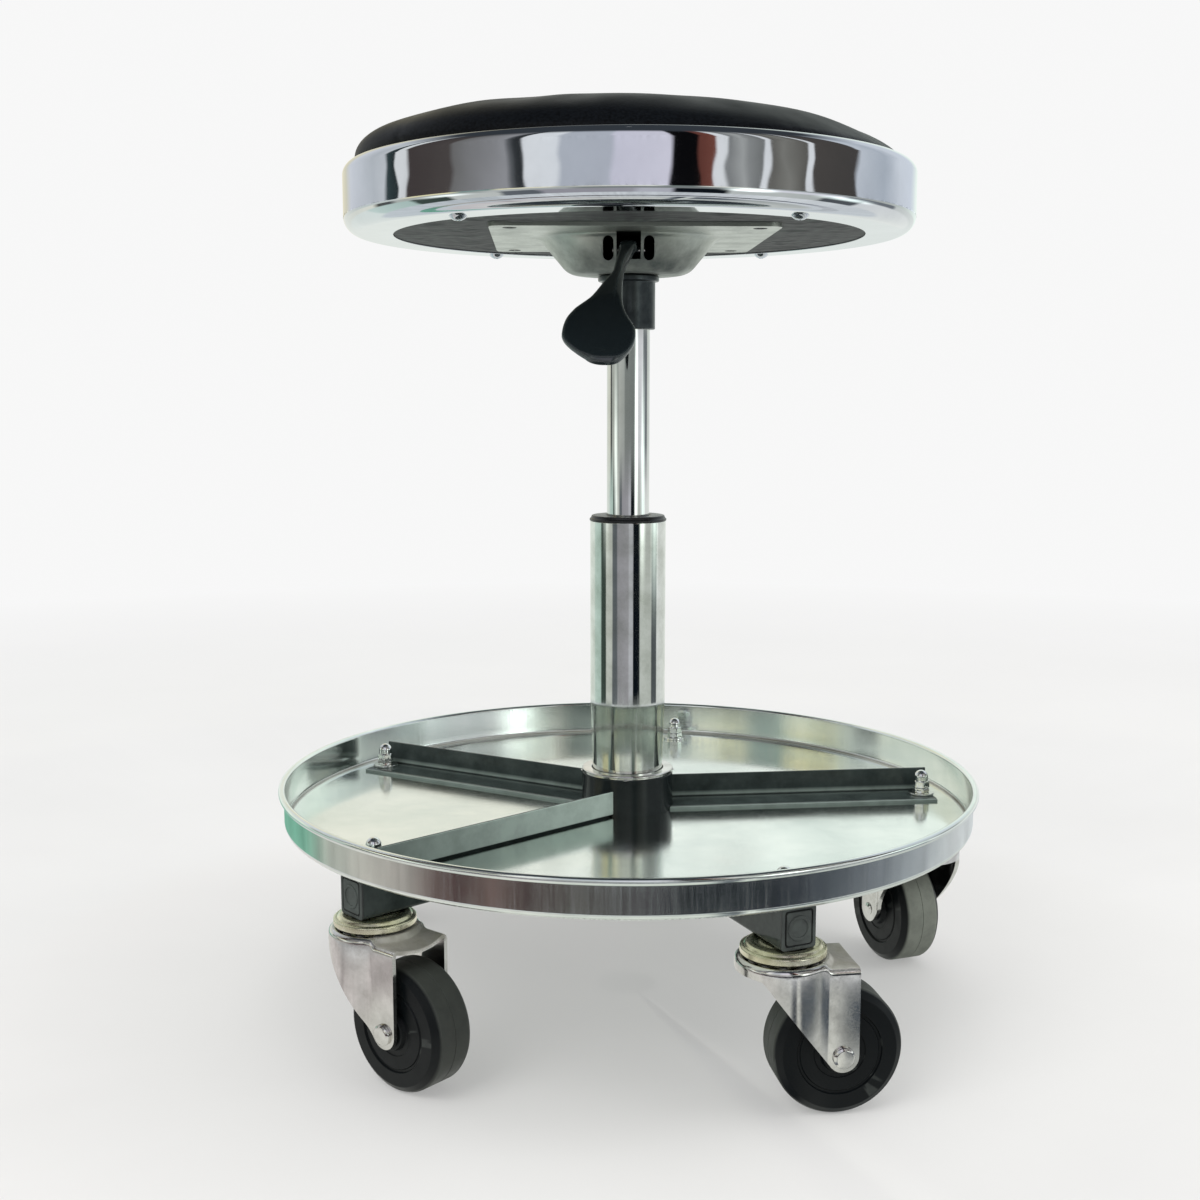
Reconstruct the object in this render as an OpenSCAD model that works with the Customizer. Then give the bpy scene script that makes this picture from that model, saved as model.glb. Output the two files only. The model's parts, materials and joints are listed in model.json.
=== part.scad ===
// Rolling workshop stool: a padded round seat on a gas lift, carried by a five-caster
// base with a round tool tray. Lengths are in millimetres and +Z is up. The origin is on
// the floor, under the axis of the column.

/* [Casters] */
// Diameter of a wheel
wheel_d = 75; // [69:0.5:81]
// Width of a wheel's tread
wheel_w = 30; // [26:0.5:34]
// Rounding of the tread's edges
tread_round = 4; // [2:0.25:6]
// Depth of the ring groove in a wheel's face
wheel_groove = 0.8; // [0.4:0.1:1.6]
// Diameter of the boss round the axle
wheel_boss_d = 21; // [17:0.5:26]
// Diameter of the steel bush in the wheel
bush_d = 11.4; // [10.6:0.1:14]
// Diameter of the axle
axle_d = 8; // [6:0.1:9]
// Diameter of the axle's round head
axle_head_d = 12.4; // [10.5:0.1:15]
// Distance from the swivel axis to the axle
caster_trail = 29.5; // [25:0.5:33]
// Thickness of the fork's sheet
fork_t = 2.5; // [1.6:0.1:3]
// Space between the tread and a fork leg
fork_side_gap = 4.1; // [2:0.1:5]
// Space between the wheel's top and the fork's plate
fork_head_space = 11; // [9:0.5:16]
// Height of the fork's round head above the plate behind it
head_rise = 3; // [2:0.25:5]
// Radius of the round head of the fork
fork_head_r = 27.5; // [26:0.25:29]
// Radius of the sweep from the round head into the flat legs
fork_sweep_r = 12; // [8:0.5:16]
// Radius of a leg's rounded end
fork_tip_r = 9; // [8:0.25:11]
// Bow of the plate's rear edge between the legs
fork_bow = 2; // [1:0.25:4]
// Depth of the lip round the fork's head
fork_lip = 7.5; // [5:0.25:10]
// Outer diameter of the swivel cup
cup_d = 49; // [44:0.5:54]
// Height of the swivel cup
cup_h = 6; // [4:0.25:8]
// Rounding of the cup's shoulder
cup_round = 4; // [2:0.25:5]
// Running gap between the cup's skirt and the fork
cup_gap = 1.5; // [1:0.1:2]
// Diameter of the swivel pin where it passes the fork
kingpin_d = 13; // [10:0.5:16]
// Diameter of the threaded stem
stem_d = 6; // [5:0.5:8]

/* [Base] */
// Angle of the first arm from the X axis
base_angle = 7.3; // [0:0.1:71]
// Distance from the tray's edge in to the caster stems
stem_inset = 26.3; // [25:0.1:30]
// Width of the arms
arm_w = 22; // [20:0.5:28]
// Height of the arms
arm_h = 25; // [22:0.5:30]
// Wall of the arms
arm_wall = 2; // [1.5:0.1:3]
// Length of an arm beyond the caster stem
arm_tail = 15; // [12:0.5:18]
// Thickness of the end plug's face
plug_face = 1.4; // [1:0.1:2.5]
// Diameter of the hub
hub_d = 61; // [58:0.5:70]
// Height of the hub above the tray's underside
hub_rise = 26; // [22:0.5:34]
// Height of the bright ring on the hub
hub_ring_h = 2.5; // [1.5:0.25:4]

/* [Tray] */
// Outer diameter over the rolled rim
tray_d = 462.6; // [462:0.2:480]
// Height of the tray
tray_h = 25; // [20:0.5:32]
// Thickness of the tray's sheet
tray_t = 1.2; // [0.8:0.1:2]
// Diameter of the rolled rim
rim_d = 4.5; // [3:0.25:6]
// Rounding of the tray's bottom edge
tray_round = 4; // [2:0.5:6]
// Width of a divider's flat leg
divider_w = 30; // [27:0.5:33]
// Height of a divider's standing leg
divider_h = 17; // [14:0.5:24]
// Thickness of a divider
divider_t = 2; // [1.5:0.1:3]
// Length of a divider beyond the caster stem
divider_tail = 7; // [5:0.5:9]
// Width of the nuts across the flats
nut_af = 10; // [9:0.1:13]
// Height of the thin nuts
nut_h = 3.2; // [2.5:0.1:5]
// Height of the cap nuts
cap_nut_h = 12; // [10:0.5:15]
// Diameter of the washers
washer_d = 18; // [16:0.5:20]
// Thickness of the washers
washer_t = 1.6; // [1:0.1:2]

/* [Gas lift] */
// Diameter of the outer tube
tube_d = 50; // [48:0.25:52]
// Wall of the outer tube
tube_wall = 2; // [1.5:0.1:2.5]
// Diameter of the outer tube at its foot
tube_foot_d = 43; // [41:0.25:46]
// Length of the outer tube
tube_len = 226; // [210:1:260]
// Length of the tapered part of the tube
taper_len = 105; // [80:1:115]
// Length of the tube below the hub
tube_drop = 6; // [4:0.5:10]
// Height of the guide bush's collar
collar_h = 3.6; // [2:0.2:6]
// Length of the guide bush inside the tube
bush_len = 62; // [40:1:70]
// Diameter of the gas cylinder
cylinder_d = 28; // [27:0.1:29]
// Wall of the gas cylinder
cylinder_wall = 1.3; // [1:0.1:1.8]
// Length of the gas cylinder that stays in the tube when the lift is up
cylinder_hold = 80; // [78:0.5:100]
// Gap left between socket and collar when the lift is fully down
lift_gap = 5.6; // [3:0.2:10]
// Diameter of the piston rod
rod_d = 10; // [8.5:0.1:11]
// Diameter of the rod's end below its shoulder
rod_tail_d = 8; // [6:0.1:8.2]
// Diameter of the thrust balls
ball_d = 3; // [2.5:0.1:4]

/* [Seat fitting] */
// Length of the taper socket below its ring
socket_len = 30.4; // [24:0.5:40]
// Wall of the taper socket
socket_wall = 3.3; // [2.5:0.1:5]
// Height of the ring under the seat pan
socket_ring_h = 4.3; // [3:0.1:6]
// Diameter of the ring under the seat pan
socket_ring_d = 39.6; // [38:0.2:50]
// Depth of the pan's bowl
pan_depth = 22.2; // [20.5:0.1:25]
// Thickness of the pan's sheet
pan_t = 2.5; // [1.5:0.1:3]
// Width of the pan's square plate
pan_w = 175; // [168:1:190]
// Room in the bowl between the lever's bracket and the bend
bracket_room = 3.9; // [3:0.1:8]
// Slope of the bowl's side in degrees
bowl_slope = 50; // [48:1:56]
// Bend radius at the bottom of the bowl
bowl_bend_r = 12.4; // [9:0.2:14]
// Bend radius at the mouth of the bowl
mouth_bend_r = 8; // [5:0.25:10]
// Turn of the pan about the column in degrees
pan_turn = 3; // [0:0.5:5]
// Distance between the pan's screws
pan_screw_pitch = 150; // [144:1:154]
// Diameter of a pan screw's head
pan_screw_d = 9; // [8:0.25:11]

/* [Lever] */
// Distance from the column's axis to the lever's pivot
pivot_reach = 22; // [21:0.25:24]
// Height of the pivot above the bowl's floor
pivot_rise = 11.2; // [10.5:0.1:12]
// Diameter of the lever's pin
lever_pin_d = 5; // [4:0.1:6]
// Width of the lever's flat bar
bar_w = 8; // [6:0.25:9]
// Thickness of the lever's flat bar
bar_t = 3; // [2:0.1:3.5]
// Length of the handle along its slope
handle_len = 102; // [95:1:110]
// Width of the handle's paddle
paddle_w = 43; // [36:1:48]
// Thickness of the handle's paddle
paddle_t = 6; // [5:0.25:8]
// Slope of the handle in degrees
handle_slope = 45; // [42:0.5:48]

/* [Seat] */
// Outer diameter of the bright band
band_d = 363.2; // [356:0.5:370]
// Height of the bright band
band_h = 42; // [40:0.5:46]
// Thickness of the band's sheet
band_t = 1; // [0.8:0.1:1.4]
// Width of the band's flange under the seat
flange_w = 31; // [28:0.5:34]
// Bend radius at the band's lower edge
band_foot_r = 10; // [8:0.5:12]
// Bend radius at the band's upper edge
band_head_r = 7; // [5:0.5:8]
// Radius of the circle of band screws
band_screw_r = 160; // [157:0.5:162]
// Diameter of the seat board
board_d = 336; // [332:0.5:340]
// Thickness of the seat board
board_t = 15; // [12:0.5:18]
// Thickness of the dust cover
cover_t = 0.8; // [0.5:0.1:1.2]
// Height of the cushion's crown above the band
crown_h = 27.4; // [20:0.2:40]

/* [Hidden] */

$fn = 96;

// Colours
zinc = [0.80, 0.80, 0.78];
yellow_zinc = [0.80, 0.76, 0.60];
black_paint = [0.07, 0.08, 0.09];
black_rubber = [0.10, 0.10, 0.10];
tray_steel = [0.70, 0.72, 0.70];
chrome = [0.84, 0.86, 0.87];
pan_paint = [0.52, 0.55, 0.51];
gunmetal = [0.24, 0.27, 0.27];
vinyl = [0.09, 0.10, 0.12];
black_plastic = [0.05, 0.05, 0.06];
plywood = [0.68, 0.54, 0.36];
cover_cloth = [0.10, 0.12, 0.11];

// Clearances and the overrun of every cut
cut = 1;
run_gap = 0.08;
bolt_gap = 0.15;
weld_gap = 0.1;
soft_gap = 0.3;
seat_gap = 0.05;

// The five arms in their order round the hub, and the way each wheel trails in degrees
arms = ["right", "rear", "rear left", "front left", "front right"];
trail_angles = [111.6, 250, 102, -39, 10];
// The arms whose stems also hold a divider
divided = ["right", "rear left", "front left"];
function arm_place(arm) = search([arm], arms)[0];
function arm_angle(arm) = base_angle + 360 * arm_place(arm) / len(arms);
function holds_divider(arm) = len([for (other = divided) if (other == arm) other]) > 0;

// Heights of the casters, from the floor up
wheel_r = wheel_d / 2;
axle_z = wheel_r;
plate_under_z = wheel_d + fork_head_space;
plate_top_z = plate_under_z + fork_t;
head_under_z = plate_under_z + head_rise;
head_top_z = head_under_z + fork_t;
cup_z = head_top_z + cup_gap;
arm_z = cup_z + cup_h;
tray_z = arm_z + arm_h;
floor_z = tray_z + tray_t;
hub_top_z = tray_z + hub_rise;

// Wheel and fork
fork_half_w = wheel_w / 2 + fork_side_gap + fork_t;
leg_inner = fork_half_w - fork_t;
boss_half = leg_inner - soft_gap - soft_gap;
bush_half = leg_inner - soft_gap;
fork_rear_x = caster_trail + fork_tip_r;
bow_x = fork_rear_x + fork_bow;
bow_r = (pow(fork_half_w, 2) + pow(fork_bow, 2)) / (2 * fork_bow);
lip_start_share = 0.62;
lip_round_share = 0.85;
lip_drop_share = 0.1;
groove_outer_share = 0.66;
groove_inner_share = 0.60;
web_step = wheel_groove / 2;
axle_head_h = 3;
axle_head_chamfer = 0.8;
peen_h = 1.6;
peen_d = axle_d + axle_head_h / 2;

// Swivel head
cup_t = 1.5;
cup_roof_z = arm_z - cup_t;
swivel_ball_d = cup_roof_z - head_top_z - soft_gap - weld_gap;
swivel_ball_r = cup_d / 2 - cup_t - swivel_ball_d / 2 - soft_gap;
swivel_ball_count = 12;
kingpin_head_h = 4;
kingpin_head_d = kingpin_d + 2 * kingpin_head_h;

// Bolts through the arms
caster_r = tray_d / 2 - stem_inset;
stem_hole_r = stem_d / 2 + bolt_gap;
cap_bore_share = 0.7;
cap_hex_share = 0.42;
cap_dome_share = 0.475;
cap_chamfer_shares = [1.6, 0.05];
badge_share = 0.375;

// Hub and outer tube
foot_z = arm_z - tube_drop;
tube_top_z = foot_z + tube_len;
tube_floor_t = 3;
collar_over = 0.4;
ring_chamfer = 0.6;
function tube_r_at(z) =
    min(tube_d, tube_foot_d + (tube_d - tube_foot_d) * (z - foot_z) / taper_len) / 2;

// Thrust bearing in the tube's foot
thrust_z = foot_z + tube_floor_t;
thrust_washer_t = 1.5;
race_r = rod_d / 2 + ball_d;
thrust_outer_r = race_r + ball_d;
ball_z = thrust_z + thrust_washer_t + weld_gap + ball_d / 2;
upper_washer_z = ball_z + ball_d / 2 + soft_gap;
shoulder_z = upper_washer_z + thrust_washer_t;
thrust_ball_count = 12;
buffer_h = 12;
buffer_wall = 5;
clip_t = 1.2;
clip_wall = 4;
rod_tail_len = 3;
clip_z = foot_z - soft_gap - clip_t;
rod_foot_z = clip_z - rod_tail_len;

// Gas cylinder
buffer_top_z = shoulder_z + buffer_h;
end_clear = 9.6;
cylinder_z = tube_top_z - cylinder_hold;
stroke = cylinder_z - buffer_top_z - end_clear;
socket_z = tube_top_z + collar_h + lift_gap + stroke;
ring_z = socket_z + socket_len;
pan_z = ring_z + socket_ring_h;
bowl_floor_z = pan_z + pan_t;
cylinder_rise = 4;
cylinder_top_z = bowl_floor_z + cylinder_rise;
cylinder_bore_r = cylinder_d / 2 - cylinder_wall;
cylinder_taper = 1.6;
cylinder_head_d = cylinder_d - cylinder_taper;
gland_h = 10;
piston_h = 10;
valve_d = 12;
valve_len = 16;
valve_roof_t = 5;
valve_body_z = cylinder_top_z - valve_roof_t - valve_len;
valve_seat_gap = 2;
cylinder_roof_z = valve_body_z - valve_seat_gap;
valve_pin_d = 5;
piston_gap = 2;
piston_z = cylinder_z + gland_h + piston_gap;
piston_land_share = 0.35;

// Lever
pivot_z = bowl_floor_z + pivot_rise;
eye_wall = 2.5;
eye_r = lever_pin_d / 2 + eye_wall;
nose_r = 4;
bracket_t = 2;
bracket_gap = 1;
eye_half_w = 6.2;
bracket_half_w = eye_half_w + bracket_gap + bracket_t;
pin_head_h = 1;
valve_pin_top_z = pivot_z - nose_r;
tongue_len = 12;
tongue_x_share = -0.055;
neck_share = 1.3;
root_len = 7;

// Bowl of the seat pan: its floor has to take the lever's bracket
bend_sum = mouth_bend_r + bowl_bend_r;
floor_r = pivot_reach + eye_r + bracket_t + bracket_room;
bowl_r = floor_r + bend_sum * sin(bowl_slope)
    + (pan_depth - bend_sum * (1 - cos(bowl_slope))) / tan(bowl_slope);
handle_y = bowl_r - mouth_bend_r;
window_w = 15;
window_share = 0.3;
slot_w = 6.6;
slot_x = 12.6;
slot_shares = [0.42, 0.76];

// Seat
plate_z = pan_z + pan_depth;
cover_z = plate_z + pan_t;
board_z = cover_z + cover_t;
board_top_z = board_z + board_t;
band_z = cover_z - band_t;
band_top_z = band_z + band_h;
band_r = band_d / 2;
lip_r = band_r - band_head_r;
pan_half_pitch = pan_screw_pitch / 2;
wrap_t = 2.5;
lip_dent = 1;
screw_len = 12;
screw_shank_d = 5;
band_screw_angle = 53;
band_screw_head_d = 11;
band_screw_head_h = 2.8;
band_screw_d = 4;

// Ring between two radii, standing on the plane of its foot
module tube_ring(outer_r, inner_r, h) {
    difference() {
        cylinder(r = outer_r, h = h);
        translate([0, 0, -cut]) cylinder(r = inner_r, h = h + 2 * cut);
    }
}

// Points of an arc, in a revolved profile or an outline
function arc(centre, r, from, to, steps = 10) =
    [for (i = [0:steps]) centre + r * [cos(from + (to - from) * i / steps),
                                       sin(from + (to - from) * i / steps)]];

// Puts its children on an arm, with X outwards along the arm
module on_arm(arm) {
    rotate([0, 0, arm_angle(arm)]) children();
}

// Puts its children at a caster's swivel axis, with X the way the wheel trails
module at_caster(arm) {
    on_arm(arm) translate([caster_r, 0, 0])
        rotate([0, 0, trail_angles[arm_place(arm)] - arm_angle(arm)]) children();
}

// Lies along Y, centred on the axle
module on_axle() {
    translate([caster_trail, 0, axle_z]) rotate([90, 0, 0]) children();
}

// Hub: a steel sleeve whose bore follows the taper of the tube
module hub() {
    color(black_paint) difference() {
        translate([0, 0, arm_z]) cylinder(d = hub_d, h = hub_top_z - arm_z);
        translate([0, 0, arm_z - cut])
            cylinder(r1 = tube_r_at(arm_z - cut) + seat_gap,
                     r2 = tube_r_at(hub_top_z + cut) + seat_gap,
                     h = hub_top_z - arm_z + 2 * cut);
    }
}

module hub_ring() {
    r = hub_d / 2;
    inner_r = tube_r_at(hub_top_z + hub_ring_h) + 2 * soft_gap;
    color(zinc) translate([0, 0, hub_top_z]) rotate_extrude()
        polygon([
            [inner_r, 0], [r, 0], [r, hub_ring_h - ring_chamfer],
            [r - ring_chamfer, hub_ring_h], [inner_r, hub_ring_h]
        ]);
}

// Arms: box tubes welded to the hub and drilled for the stems
module base_arms() {
    color(black_paint) for (arm = arms) on_arm(arm) difference() {
        translate([0, -arm_w / 2, arm_z]) cube([caster_r + arm_tail, arm_w, arm_h]);
        translate([0, arm_wall - arm_w / 2, arm_z + arm_wall])
            cube([caster_r + arm_tail + cut, arm_w - 2 * arm_wall, arm_h - 2 * arm_wall]);
        translate([0, 0, arm_z - cut]) cylinder(r = hub_d / 2 + weld_gap, h = arm_h + 2 * cut);
        translate([caster_r, 0, arm_z - cut]) cylinder(r = stem_hole_r, h = arm_h + 2 * cut);
    }
}

// Plugs that close the arms, each with a round raised by a thin ring
module arm_end_plugs() {
    inner_w = arm_w - 2 * arm_wall - 2 * weld_gap;
    inner_h = arm_h - 2 * arm_wall - 2 * weld_gap;
    depth = arm_tail / 2;
    badge_r = badge_share * arm_w;
    color(black_plastic) for (arm = arms) on_arm(arm)
        translate([caster_r + arm_tail, 0, arm_z + arm_h / 2]) {
            translate([0, -arm_w / 2, -arm_h / 2]) cube([plug_face, arm_w, arm_h]);
            translate([-depth, -inner_w / 2, -inner_h / 2]) cube([depth + plug_face / 2, inner_w, inner_h]);
            translate([plug_face / 2, 0, 0]) rotate([0, 90, 0])
                tube_ring(badge_r, badge_r - plug_face, plug_face);
        }
}

// Tray: a spun pan with a rolled rim
module tray() {
    r = tray_d / 2;
    wall_r = r - rim_d + tray_t;
    rim_z = tray_z + tray_h - rim_d / 2;
    bend = [wall_r - tray_round, tray_z + tray_round];
    color(tray_steel) difference() {
        union() {
            rotate_extrude($fn = 180) {
                polygon(concat(
                    [[hub_d / 2 + soft_gap, tray_z]],
                    arc(bend, tray_round, -90, 0, 6),
                    [[wall_r, rim_z], [wall_r - tray_t, rim_z]],
                    arc(bend, tray_round - tray_t, 0, -90, 6),
                    [[hub_d / 2 + soft_gap, floor_z]]
                ));
                translate([r - rim_d / 2, rim_z]) circle(d = rim_d, $fn = 32);
            }
        }
        for (arm = arms) on_arm(arm) translate([caster_r, 0, tray_z - cut])
            cylinder(r = stem_hole_r, h = tray_t + 2 * cut);
    }
}

// Divider: an angle bar from the hub to the rim, bolted down by a caster stem.
// side is 1 where the standing leg is on the left of the arm, seen from the hub, and -1 on
// its right.
module divider(arm, side) {
    reach = caster_r + divider_tail;
    leg_y = side > 0 ? divider_w / 2 - divider_t : -divider_w / 2;
    color(black_paint) on_arm(arm) translate([0, 0, floor_z]) difference() {
        union() {
            translate([0, -divider_w / 2, 0]) cube([reach, divider_w, divider_t]);
            translate([0, leg_y, 0]) cube([reach, divider_t, divider_h]);
        }
        translate([0, 0, -cut]) cylinder(r = hub_d / 2 + soft_gap, h = divider_h + 2 * cut);
        translate([caster_r, 0, -cut]) cylinder(r = stem_hole_r, h = divider_t + 2 * cut);
    }
}

module divider_right() { divider("right", 1); }
module divider_rear_left() { divider("rear left", -1); }
module divider_front_left() { divider("front left", 1); }

// Height of the face that a stem's washer lies on
function clamp_z(arm) = floor_z + (holds_divider(arm) ? divider_t : 0);
// Height of the foot of a cap nut
function cap_nut_z(arm) = clamp_z(arm) + washer_t + nut_h;

// Caster stems: a flanged swivel pin below and a thread up through arm and tray
module caster_stem_bolts() {
    head_z = head_under_z - soft_gap;
    color(zinc) for (arm = arms) on_arm(arm) translate([caster_r, 0, 0]) {
        translate([0, 0, head_z - kingpin_head_h])
            cylinder(d1 = kingpin_head_d - kingpin_head_h, d2 = kingpin_head_d, h = kingpin_head_h);
        translate([0, 0, head_z - weld_gap])
            cylinder(d = kingpin_d, h = cup_roof_z - head_z + weld_gap);
        translate([0, 0, cup_roof_z - weld_gap])
            cylinder(d = stem_d, h = cap_nut_z(arm) + cap_nut_h * cap_bore_share - cup_roof_z);
    }
}

module stem_washers() {
    color(zinc) for (arm = arms) on_arm(arm) translate([caster_r, 0, clamp_z(arm)])
        tube_ring(washer_d / 2, stem_hole_r, washer_t);
}

// Six-sided prism, measured across its flats
module hexagon(af, h) {
    cylinder(d = af / cos(30), h = h, $fn = 6);
}

module stem_nuts() {
    color(zinc) for (arm = arms) on_arm(arm)
        translate([caster_r, 0, clamp_z(arm) + washer_t]) difference() {
            hexagon(nut_af, nut_h);
            translate([0, 0, -cut]) cylinder(r = stem_hole_r, h = nut_h + 2 * cut);
        }
}

// Cap nuts: a chamfered hexagon under a domed cap, with a blind bore
module cap_nuts() {
    hex_h = cap_hex_share * cap_nut_h;
    dome_r = cap_dome_share * nut_af;
    foot_r = nut_af / 2 + cap_chamfer_shares[0] * hex_h;
    head_r = nut_af / 2 + cap_chamfer_shares[1] * hex_h;
    color(zinc) for (arm = arms) on_arm(arm) translate([caster_r, 0, cap_nut_z(arm)])
        difference() {
            union() {
                intersection() {
                    hexagon(nut_af, hex_h);
                    cylinder(r1 = foot_r, r2 = head_r, h = hex_h);
                }
                rotate_extrude() polygon(concat(
                    [[0, 0], [dome_r, 0]],
                    arc([0, cap_nut_h - dome_r], dome_r, 0, 90, 12)
                ));
            }
            translate([0, 0, -cut])
                cylinder(r = stem_hole_r, h = cap_nut_h * cap_bore_share + cut + bolt_gap);
        }
}

// Swivel cups: pressed raceways between the arms and the forks
module caster_cups() {
    r = cup_d / 2;
    color(yellow_zinc) for (arm = arms) on_arm(arm) translate([caster_r, 0, 0])
        rotate_extrude() polygon(concat(
            [[stem_hole_r, cup_roof_z]],
            arc([r - cup_round, arm_z - cup_round], cup_round - cup_t, 90, 0, 8),
            [[r - cup_t, cup_z], [r, cup_z]],
            arc([r - cup_round, arm_z - cup_round], cup_round, 0, 90, 8),
            [[stem_hole_r, arm_z]]
        ));
}

module swivel_balls() {
    color(chrome) for (arm = arms) on_arm(arm) translate([caster_r, 0, 0])
        for (k = [0:swivel_ball_count - 1]) rotate([0, 0, 360 * k / swivel_ball_count])
            translate([swivel_ball_r, 0, cup_roof_z - weld_gap - swivel_ball_d / 2])
                sphere(d = swivel_ball_d, $fn = 24);
}

// Plan of the fork, drawn in by an inset: a round head that sweeps into two straight sides
module fork_plan(inset, reach) {
    head_r = fork_head_r - inset;
    half_w = fork_half_w - inset;
    sweep_r = fork_sweep_r + inset;
    sweep_y = fork_half_w + fork_sweep_r;
    sweep_x = sqrt(pow(fork_head_r + fork_sweep_r, 2) - pow(sweep_y, 2));
    circle(r = head_r);
    translate([0, -half_w]) square([reach, 2 * half_w]);
    for (side = [-1, 1]) difference() {
        polygon([[0, 0], [sweep_x, side * sweep_y], [sweep_x, 0]]);
        translate([sweep_x, side * sweep_y]) circle(r = sweep_r);
    }
}

// Side of the fork: a lip round the head that runs down to a rounded end at the axle
module fork_side() {
    tip = [caster_trail, axle_z];
    lip_z = head_top_z - fork_lip;
    start = [-lip_start_share * fork_head_r, lip_z - lip_drop_share * fork_lip];
    to_tip = tip - start;
    away = norm(to_tip);
    heading = atan2(to_tip[1], to_tip[0]) - asin(fork_tip_r / away);
    tangent = start + sqrt(away * away - fork_tip_r * fork_tip_r) * [cos(heading), sin(heading)];
    translate(tip) circle(r = fork_tip_r);
    polygon([
        [-fork_head_r - cut, head_top_z + cut], [-fork_head_r - cut, lip_z],
        [-lip_round_share * fork_head_r, lip_z], start, tangent, tip,
        [fork_rear_x, axle_z], [fork_rear_x, plate_under_z],
        [bow_x, plate_under_z], [bow_x, head_top_z + cut]
    ]);
}

// Body of the fork up to the top of its sheet, drawn in by an inset
module fork_body(inset, reach, plate_z, head_z) {
    foot_z = axle_z - fork_tip_r - (inset > 0 ? cut : 0);
    translate([0, 0, foot_z]) linear_extrude(plate_z - foot_z) fork_plan(inset, reach);
    translate([0, 0, foot_z]) cylinder(r = fork_head_r - inset, h = head_z - foot_z);
}

// Fork: a pressed plate with a raised round head and two legs
module fork(arm) {
    bow_angle = asin(fork_half_w / bow_r);
    color(zinc) at_caster(arm) difference() {
        intersection() {
            difference() {
                union() {
                    fork_body(0, fork_rear_x, plate_top_z, head_top_z);
                    translate([0, 0, plate_under_z]) linear_extrude(fork_t)
                        polygon(arc([bow_x - bow_r, 0], bow_r, -bow_angle, bow_angle));
                }
                fork_body(fork_t, fork_rear_x + cut, plate_under_z, head_under_z);
            }
            rotate([90, 0, 0]) linear_extrude(2 * fork_head_r + 2 * cut, center = true) fork_side();
        }
        translate([0, 0, head_under_z - cut])
            cylinder(d = kingpin_d + 2 * run_gap, h = fork_t + 2 * cut);
        on_axle() cylinder(d = axle_d + 2 * bolt_gap, h = 2 * fork_half_w + 2 * cut, center = true);
    }
}

// Axle: a round-headed pin, peened over at its other end
module axle(arm) {
    r = axle_head_d / 2;
    shank_len = 2 * fork_half_w + peen_h / 2;
    color(zinc) at_caster(arm) on_axle() {
        translate([0, 0, -fork_half_w - peen_h / 2]) cylinder(d = axle_d, h = shank_len);
        translate([0, 0, -fork_half_w - peen_h])
            cylinder(d1 = peen_d - peen_h, d2 = peen_d, h = peen_h);
        translate([0, 0, fork_half_w]) rotate_extrude() polygon([
            [0, -axle_head_chamfer], [axle_d / 2, -axle_head_chamfer], [axle_d / 2, 0], [r, 0],
            [r, axle_head_h - axle_head_chamfer], [r - axle_head_chamfer, axle_head_h],
            [0, axle_head_h]
        ]);
    }
}

// Wheel: a turned disc with a ring groove and a boss on each face
module wheel(arm) {
    face = wheel_w / 2;
    bore_r = bush_d / 2 + weld_gap;
    boss_r = wheel_boss_d / 2;
    outer = wheel_r * groove_outer_share;
    inner = wheel_r * groove_inner_share;
    half = concat(
        [[bore_r, boss_half], [boss_r - web_step, boss_half], [boss_r + web_step, face - web_step],
         [inner, face - web_step], [inner, face - wheel_groove - web_step],
         [outer, face - wheel_groove - web_step], [outer, face]],
        arc([wheel_r - tread_round, face - tread_round], tread_round, 90, 0, 8)
    );
    color(black_rubber) at_caster(arm) on_axle() rotate_extrude()
        polygon(concat(half, [for (k = [len(half) - 1:-1:0]) [half[k][0], -half[k][1]]]));
}

module wheel_bush(arm) {
    color(zinc) at_caster(arm) on_axle() translate([0, 0, -bush_half])
        tube_ring(bush_d / 2, axle_d / 2 + run_gap, 2 * bush_half);
}

module fork_right() { fork("right"); }
module axle_right() { axle("right"); }
module wheel_right() { wheel("right"); }
module wheel_bush_right() { wheel_bush("right"); }
module fork_rear() { fork("rear"); }
module axle_rear() { axle("rear"); }
module wheel_rear() { wheel("rear"); }
module wheel_bush_rear() { wheel_bush("rear"); }
module fork_rear_left() { fork("rear left"); }
module axle_rear_left() { axle("rear left"); }
module wheel_rear_left() { wheel("rear left"); }
module wheel_bush_rear_left() { wheel_bush("rear left"); }
module fork_front_left() { fork("front left"); }
module axle_front_left() { axle("front left"); }
module wheel_front_left() { wheel("front left"); }
module wheel_bush_front_left() { wheel_bush("front left"); }
module fork_front_right() { fork("front right"); }
module axle_front_right() { axle("front right"); }
module wheel_front_right() { wheel("front right"); }
module wheel_bush_front_right() { wheel_bush("front right"); }

// Outer tube: tapered into the hub, with a floor that holds the rod's end
module outer_tube() {
    straight_z = foot_z + taper_len;
    color(chrome) rotate_extrude() polygon([
        [rod_tail_d / 2 + run_gap, foot_z], [tube_foot_d / 2, foot_z],
        [tube_d / 2, straight_z], [tube_d / 2, tube_top_z],
        [tube_d / 2 - tube_wall, tube_top_z], [tube_d / 2 - tube_wall, straight_z],
        [tube_r_at(thrust_z) - tube_wall, thrust_z], [rod_tail_d / 2 + run_gap, thrust_z]
    ]);
}

// Guide bush: the sleeve that the gas cylinder slides in
module guide_bush() {
    bore = cylinder_d / 2 + run_gap;
    color(black_plastic) rotate_extrude() polygon([
        [bore, tube_top_z - bush_len], [tube_d / 2 - tube_wall - seat_gap, tube_top_z - bush_len],
        [tube_d / 2 - tube_wall - seat_gap, tube_top_z], [tube_d / 2 + collar_over, tube_top_z],
        [tube_d / 2 + collar_over, tube_top_z + collar_h - collar_over],
        [tube_d / 2, tube_top_z + collar_h], [bore, tube_top_z + collar_h]
    ]);
}

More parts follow.
